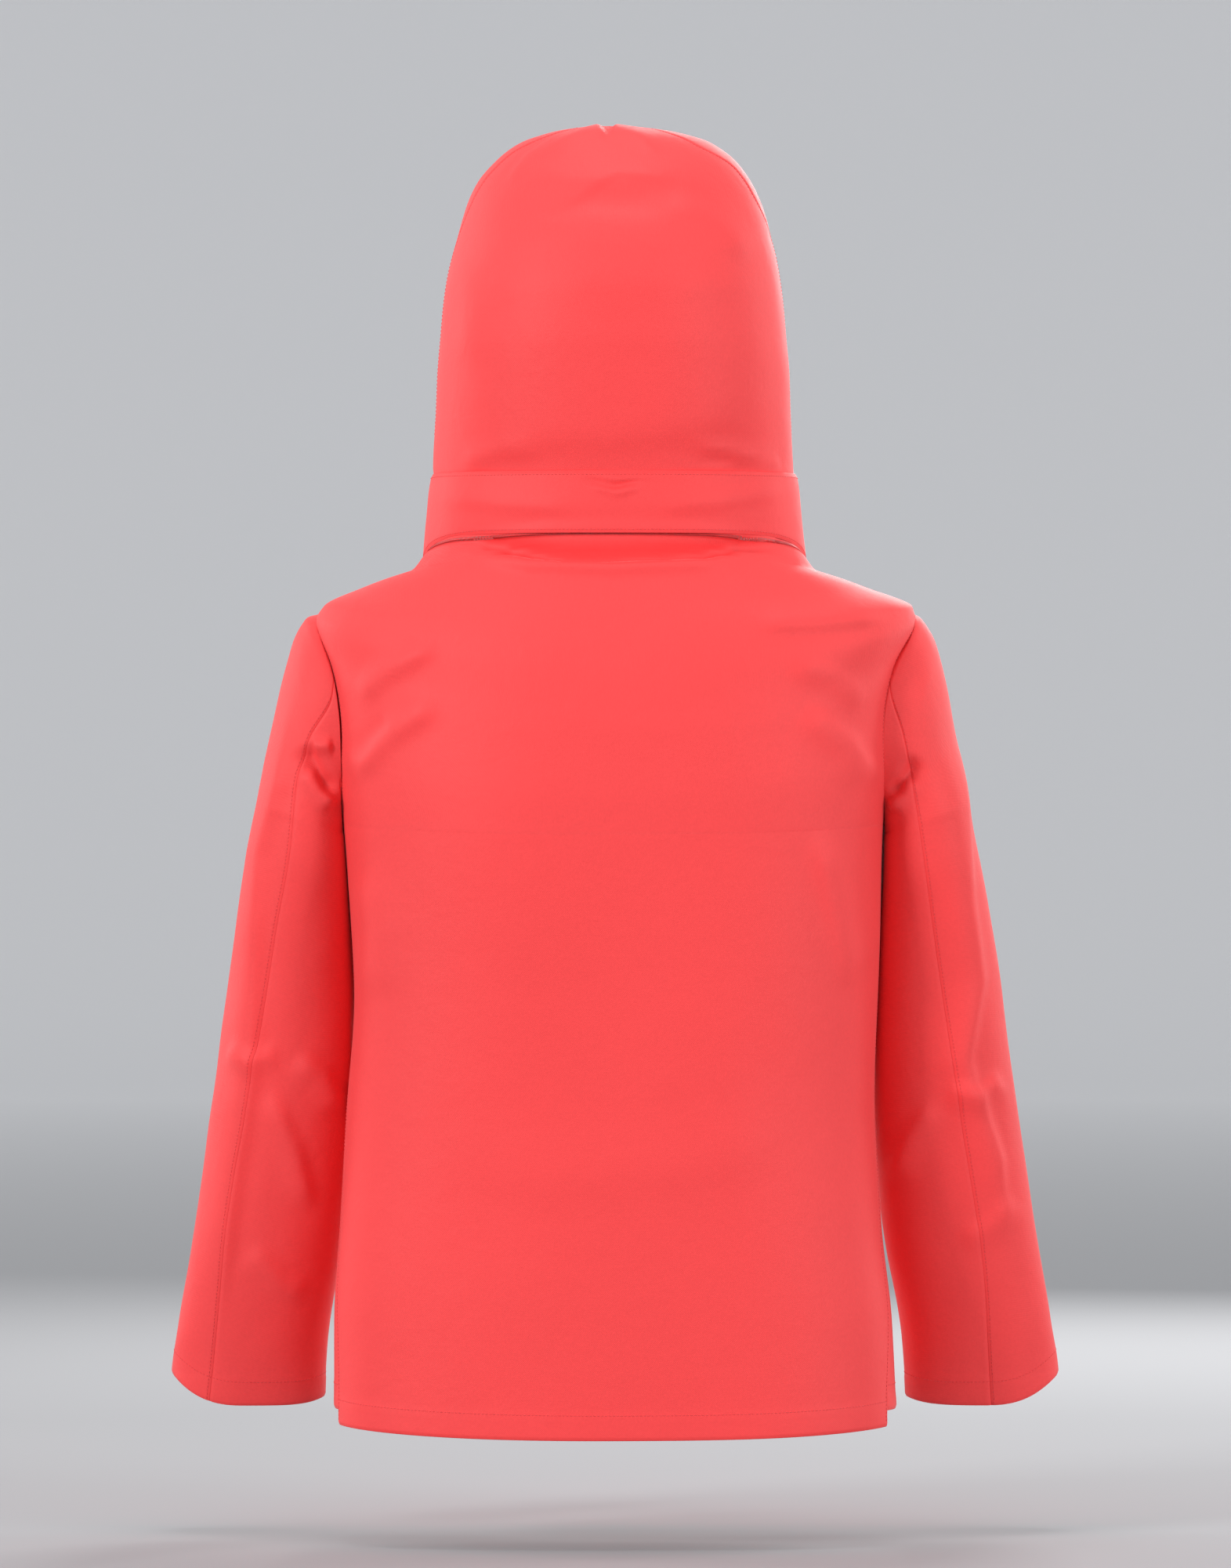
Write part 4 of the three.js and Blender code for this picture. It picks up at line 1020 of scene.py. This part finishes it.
extra = []
for left in (True, False):
    tag = "left" if left else "right"
    body = f"sleeve_{tag}"
    orient = 1 if left else -1
    rows_o = [sleeve_ring(left, np.linspace(SEAM_IN - 360, seam_back(q, left), 300), q) for q in Q_ROWS]
    rows_u = [sleeve_ring(left, np.linspace(seam_back(q, left), SEAM_IN, 200), q) for q in Q_ROWS]
    # du goes with t; rows go down
    outer = panel(f"sleeve_outer_{tag}_cloth", rows_grid(rows_o, 90), -orient, M_SHELL, disp=sleeve_disp(left), roll=(0.7, 0.7, 0.15, 1))
    under = panel(f"sleeve_under_{tag}_cloth", rows_grid(rows_u, 58), -orient, M_SHELL, disp=sleeve_disp(left), roll=(0.7, 0.7, 0.15, 1))
    # weights by which the top of the shoulder would give way sooner than the armpit; blend_by only bakes each panel's
    # transform and does not use them
    xs_all = np.abs(np.concatenate([outer.O[..., 0], under.O[..., 0]], axis=1))
    x_lo, x_hi = xs_all.min(1), xs_all.max(1)
    for p in (outer, under):
        k_ = np.clip((np.abs(p.O[..., 0]) - x_lo[:, None]) / np.maximum(x_hi - x_lo, 1)[:, None], 0, 1)
        w = weights_at(Q_ROWS[:, None], k_)[:, : p.cols].ravel()
        blend_by(p.obj, np.concatenate([w, w]))
    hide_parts(f"sleeve_outer_{tag}", f"sleeve_head_{tag}")
    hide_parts(f"sleeve_under_{tag}")
    # facing inside the cuff
    qf = np.linspace(Q_END - 46, Q_END - 2.5, 14)
    rows_f = [sleeve_ring(left, np.linspace(-50, 309.5, 260), q) for q in qf]
    face = panel(f"cuff_facing_{tag}_cloth", rows_grid(rows_f, 110), -orient, M_LINING, thick=0.8, lift=-2.2, roll_depth=0.3)
    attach(face.obj, body)
    extra.append(face)
    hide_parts(f"cuff_facing_{tag}")
    # stitching along the sleeve's seams and round the cuff
    lines, qs = [], []
    stitch = []
    for p, e in ((outer, "u0"), (outer, "u1")):
        pts, nor = line_at(p, e, 2.6)
        stitch.append((pts[6:-2], nor[6:-2]))
    so = stitches(f"sleeve_seam_thread_{tag}", stitch)
    co = np.array([v.co for v in so.data.vertices]) * 1000
    # weight of a stitch is that of the nearest row on the line it follows
    ref = np.concatenate([s_[0] for s_ in stitch])
    refq = np.concatenate([Q_ROWS[6:-2], Q_ROWS[6:-2]])
    idx = np.argmin(((co[::10, None, :] - ref[None]) ** 2).sum(2), axis=1)
    rowi = np.clip(np.searchsorted(Q_ROWS, refq[idx]), 0, len(Q_ROWS) - 1)
    kk = np.clip((np.abs(co[::10, 0]) - x_lo[rowi]) / np.maximum(x_hi[rowi] - x_lo[rowi], 1), 0, 1)
    blend_by(so, np.repeat(weights_at(refq[idx], kk), 10))
    lines = []
    for p in (outer, under):
        pts, nor = line_at(p, "v1", 20.5)
        lines.append((pts, nor))
    ct = stitches(f"cuff_thread_{tag}", lines)
    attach(ct, body)
    # no armhole stitching on the body side is made: only an empty list for the left side
    if left:
        arm_lines = []

    # cuff tab and the loop patch below it
    def cuff_point(t, z, up):
        q = 90 + (-200 - z)
        P0 = sleeve_ring(left, np.array([t]), q)[0]
        Pa = sleeve_ring(left, np.array([t + 0.5]), q)[0] - sleeve_ring(left, np.array([t - 0.5]), q)[0]
        Pb = sleeve_ring(left, np.array([t]), q - 1)[0] - sleeve_ring(left, np.array([t]), q + 1)[0]
        n = np.cross(Pa, Pb) * (1 if left else -1)
        n /= np.linalg.norm(n)
        if n[1] < 0:
            n = -n
        return P0 + n * up

    def strap(name, t0, t1, z0, half, up, thick, mat, rounded):
        ts = np.linspace(t0, t1, 44)
        rows = []
        for f in np.concatenate([[-1, -0.94, -0.86], np.linspace(-0.72, 0.72, 7), [0.86, 0.94, 1]]):
            r = []
            for i, t in enumerate(ts):
                g = i / (len(ts) - 1)
                hh = half * (math.sqrt(max(0.0, 1 - ((g - 0.82) / 0.18) ** 2)) if rounded and g > 0.82 else 1.0)
                r.append(cuff_point(t, z0 + f * max(hh, 0.3), up))
            rows.append(r)
        return panel(name, np.array(rows), 1, mat, thick=thick, roll_depth=0.35, roll_width=0.9)

    tt = strap(f"cuff_tab_{tag}_strap", 27.5, -34, -655, 12.5, 3.6, 1.5, M_TRIM, True)
    st = strap(f"cuff_tab_{tag}_anchor", 44, 28.8, -655, 12.5, 2.6, 2.4, M_TRIM, False)
    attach(st.obj, body)
    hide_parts(f"cuff_tab_{tag}")
    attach(tt.obj, f"tab_{tag}")
    lp = strap(f"cuff_loop_{tag}_patch", 24, -46, -655, 11.5, 1.4, 1.0, M_WEB, False)
    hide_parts(f"cuff_loop_patch_{tag}")
    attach(lp.obj, body)
    if left:
        outer_l, under_l = outer, under
    else:
        outer_r, under_r = outer, under

# ------------------------------------------------------------------ seam stitching on the body and hood
thread = []
for p, e, d, sl in (
    (back, "v0", 20.5, slice(2, -2)), (front_l, "v0", 20.5, slice(2, -2)), (front_r, "v0", 20.5, slice(2, -2)),
    (front_l, "u0", 3.2, slice(4, -4)), (front_r, "u1", 3.2, slice(4, -4)),
    (band, "v1", 3.4, slice(2, -2)), (band, "v0", 3.0, slice(2, -2)),
):
    pts, nor = line_at(p, e, d)
    thread.append((pts[sl], nor[sl]))
n_back = len(VB)
for p, e in ((back, "u0"), (back, "u1")):
    pts, nor = line_at(p, e, 2.6)
    thread.append((pts[4:-4], nor[4:-4]))
body_thread = stitches("body_seam_thread", thread)
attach(body_thread, "shell")
thread = []
for e in ("u0", "u1"):
    pts, nor = line_at(hood_back, e, 2.6)
    thread.append((pts[8:-3], nor[8:-3]))
for p, e in ((hood_left, "u0"), (hood_right, "u1")):
    pts, nor = line_at(p, e, 6.0)
    thread.append((pts[8:-30], nor[8:-30]))
hood_thread = stitches("hood_seam_thread", thread)
hood_parts.append(hood_thread)
for o in hood_parts:
    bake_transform(o)
pts, nor = line_at(brim, "v1", 4.0)
bt = stitches("visor_thread", [(pts[2:-2], nor[2:-2])])
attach(bt, "hood")

# ------------------------------------------------------------------ inside pieces
rows = [np.stack([np.linspace(31, -31, 40), np.full(40, FRONT_Y - 7.0) - 2.2 * np.cos(np.linspace(-1.5, 1.5, 40)), np.full(40, z)], 1) for z in np.linspace(22, 67, 18)]
chin = panel("chin_guard_cloth", np.array(rows), 1, M_LINING, thick=1.6, roll_depth=0.6)
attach(chin.obj, "shell")
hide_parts("chin_guard")
for left in (True, False):
    tag = "left" if left else "right"
    vs = np.linspace(1.2, 4.2, 60)
    rows = [torso(np.linspace(24, 62, 120) if left else np.linspace(298, 336, 120), v) for v in vs]
    bag = panel(f"hand_pocket_bag_{tag}_cloth", rows_grid(rows, 50), 1, M_LINING, thick=0.6, lift=-5.0, disp=lambda P, N: 0.8 * waves(P, 77, 60), roll_depth=0.5)
    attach(bag.obj, "shell")
    extra.append(bag)
    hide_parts(f"hand_pocket_bag_{tag}")

# ------------------------------------------------------------------ CAD pieces kept, with their own materials
LOOKS = {
    "main_zip_tape_left": M_TAPE, "main_zip_tape_right": M_TAPE, "hand_pocket_zip_left": M_TAPE, "hand_pocket_zip_right": M_TAPE,
    "main_zip_slider": M_METAL, "hand_pocket_slider_left": M_METAL, "hand_pocket_slider_right": M_METAL,
    "main_zip_pull": M_TRIM, "hand_pocket_pull_left": M_TRIM, "hand_pocket_pull_right": M_TRIM,
    "main_zip_top_stop": M_METAL, "main_zip_retainer_box": M_METAL, "hang_loop": M_WEB,
}
for name, o in frame["nodes"].items():
    if o.hide_render:
        continue
    m = LOOKS.get(name, M_TRIM)
    o.data.materials.clear()
    o.data.materials.append(m)


def teeth(name, rows, body):
    """zip teeth: small rounded bars across the chain. rows is a list of (centre, across, up, out) for each tooth"""
    V, F = [], []
    for c, a, u, o in rows:
        b = len(V)
        for k in (-1, 1):
            for x, y in ((-0.55, 0.0), (-0.4, 0.45), (0.0, 0.62), (0.4, 0.45), (0.55, 0.0)):
                V.append(c + a * k + u * x + o * y)
        for i in range(4):
            F.append((b + i, b + i + 1, b + 6 + i, b + 5 + i))
        F.append((b + 4, b, b + 5, b + 9))
        F.append((b, b + 4, b + 3, b + 2, b + 1))
        F.append((b + 5, b + 6, b + 7, b + 8, b + 9))
    me = bpy.data.meshes.new(name)
    me.from_pydata((np.array(V) * 0.001).tolist(), [], F)
    me.materials.append(M_TEETH)
    o = bpy.data.objects.new(name, me)
    bpy.context.scene.collection.objects.link(o)
    import bmesh

    bm = bmesh.new()
    bm.from_mesh(me)
    bmesh.ops.recalc_face_normals(bm, faces=bm.faces)
    bm.to_mesh(me)
    bm.free()
    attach(o, body)
    return o


ZY = 120 - 1.4 - 1.6
rows = []
for k in range(int(742 / 1.7)):
    z = -680 + k * 1.7
    side = -1 if k % 2 else 1
    rows.append((np.array([side * 1.95, ZY + 1.42, z]), np.array([1.15, 0, 0]), np.array([0, 0, 1.0]), np.array([0, 1.0, 0])))
    rows.append((np.array([-side * 1.95, ZY + 1.42, z + 0.1]), np.array([1.15, 0, 0]), np.array([0, 0, 1.0]), np.array([0, 1.0, 0])))
teeth("main_zip_teeth", rows, "shell")
for sgn in (-1, 1):
    a = -sgn * math.radians(20)
    across = np.array([math.cos(a), math.sin(a), 0])
    outw = np.array([-math.sin(a), math.cos(a), 0])
    rows = []
    for k in range(int(186 / 1.5)):
        z = -518 + k * 1.5
        c = np.array([sgn * 128.6, 102.9, z]) + outw * 1.88
        rows.append((c, across * 1.9, np.array([0, 0, 0.9]), outw * 0.7))
    teeth(f"hand_pocket_teeth_{'left' if sgn < 0 else 'right'}", rows, "shell")

# ------------------------------------------------------------------ stage and light
stage_mat = bpy.data.materials.new("stage")
stage_mat.use_nodes = True
sb = stage_mat.node_tree.nodes["Principled BSDF"]
sb.inputs["Base Color"].default_value = (0.82, 0.82, 0.83, 1)
sb.inputs["Roughness"].default_value = 0.9
snt = stage_mat.node_tree
sco, sln, srm = snt.nodes.new("ShaderNodeTexCoord"), snt.nodes.new("ShaderNodeVectorMath"), snt.nodes.new("ShaderNodeValToRGB")
sln.operation = "LENGTH"
sdv = snt.nodes.new("ShaderNodeMath")
sdv.operation = "DIVIDE"
sdv.inputs[1].default_value = 15.0
srm.color_ramp.elements[0].position, srm.color_ramp.elements[1].position = 0.12, 0.75
srm.color_ramp.elements[0].color, srm.color_ramp.elements[1].color = (0.36, 0.36, 0.37, 1), (0.93, 0.93, 0.94, 1)
snt.links.new(sco.outputs["Object"], sln.inputs[0])
snt.links.new(sln.outputs["Value"], sdv.inputs[0])
snt.links.new(sdv.outputs[0], srm.inputs[0])
snt.links.new(srm.outputs[0], sb.inputs["Base Color"])
FLOOR = -0.80
V, F = [], []
prof = [(0.02, FLOOR), (4.0, FLOOR), (12.5, FLOOR)]
for i in range(1, 11):
    a = math.pi / 2 * i / 10
    prof.append((12.5 + 3.0 * math.sin(a), FLOOR + 3.0 * (1 - math.cos(a))))
SEG = 96
for r_, z in prof:
    for k in range(SEG):
        a = 2 * math.pi * k / SEG
        V.append((r_ * math.cos(a), r_ * math.sin(a), z))
for i in range(len(prof) - 1):
    for k in range(SEG):
        k2 = (k + 1) % SEG
        F.append((i * SEG + k, (i + 1) * SEG + k, (i + 1) * SEG + k2, i * SEG + k2))
F.append(tuple(range(SEG)))
me = bpy.data.meshes.new("backdrop")
me.from_pydata(V, [], F)
me.shade_smooth()
me.materials.append(stage_mat)
bd = bpy.data.objects.new("backdrop", me)
bpy.context.scene.collection.objects.link(bd)


def area(name, loc, aim, size, power, colour=(1, 1, 1)):
    d = bpy.data.lights.new(name, "AREA")
    d.shape = "RECTANGLE"
    d.size, d.size_y = size
    d.energy = power
    d.color = colour
    o = bpy.data.objects.new(name, d)
    o.location = loc
    o.rotation_euler = (Vector(aim) - Vector(loc)).to_track_quat("-Z", "Y").to_euler()
    bpy.context.scene.collection.objects.link(o)


area("key_left", (-4.2, -4.0, 1.5), (0, 0, -0.25), (1.4, 1.6), 190)
area("key_right", (4.4, -3.6, 0.7), (0, 0, -0.25), (1.6, 2.0), 116)
area("rim_left", (-2.4, 1.3, 0.5), (-0.2, 0, -0.2), (0.7, 2.2), 20)
area("rim_right", (2.4, 1.3, 0.5), (0.2, 0, -0.2), (0.7, 2.2), 20)
area("top", (0, -0.3, 2.7), (0, 0, 0), (1.2, 1.0), 26)
area("front", (0.9, 3.2, 1.1), (0, 0, -0.1), (1.4, 1.4), 62)
world = bpy.data.worlds.new("world")
bpy.context.scene.world = world
world.use_nodes = True
world.node_tree.nodes["Background"].inputs[0].default_value = (0.9, 0.92, 0.95, 1)
world.node_tree.nodes["Background"].inputs[1].default_value = 0.56
bpy.context.scene.view_settings.view_transform = "Standard"

# ------------------------------------------------------------------ the cloth panels and their sizes
for o in bpy.context.scene.objects:
    if o.type != "MESH" or o.name == "backdrop" or o in frame["nodes"].values():
        continue

SIZES = {
    "back": (back, (0.72, 0.78)), "front_l": (front_l, (0.36, 0.72)), "front_r": (front_r, (0.36, 0.72)),
    "hood_back": (hood_back, (0.45, 0.36)), "hood_left": (hood_left, (0.3, 0.36)), "hood_right": (hood_right, (0.3, 0.36)),
    "crown_l": (crown_l, 0), "crown_r": (crown_r, 0), "band": (band, 0), "lining": (lining, 0), "visor": (brim, 0), "chin": (chin, 0), **{f"extra{i}": (p, 0) for i, p in enumerate(extra)},
    "outer_l": (outer_l, (0.30, 0.66)), "outer_r": (outer_r, (0.30, 0.66)), "under_l": (under_l, (0.18, 0.60)), "under_r": (under_r, (0.18, 0.60)),
}
for key, (p, _) in SIZES.items():
    w = math.ceil(max(p.au[:, -1].max(), 20)) * 0.001
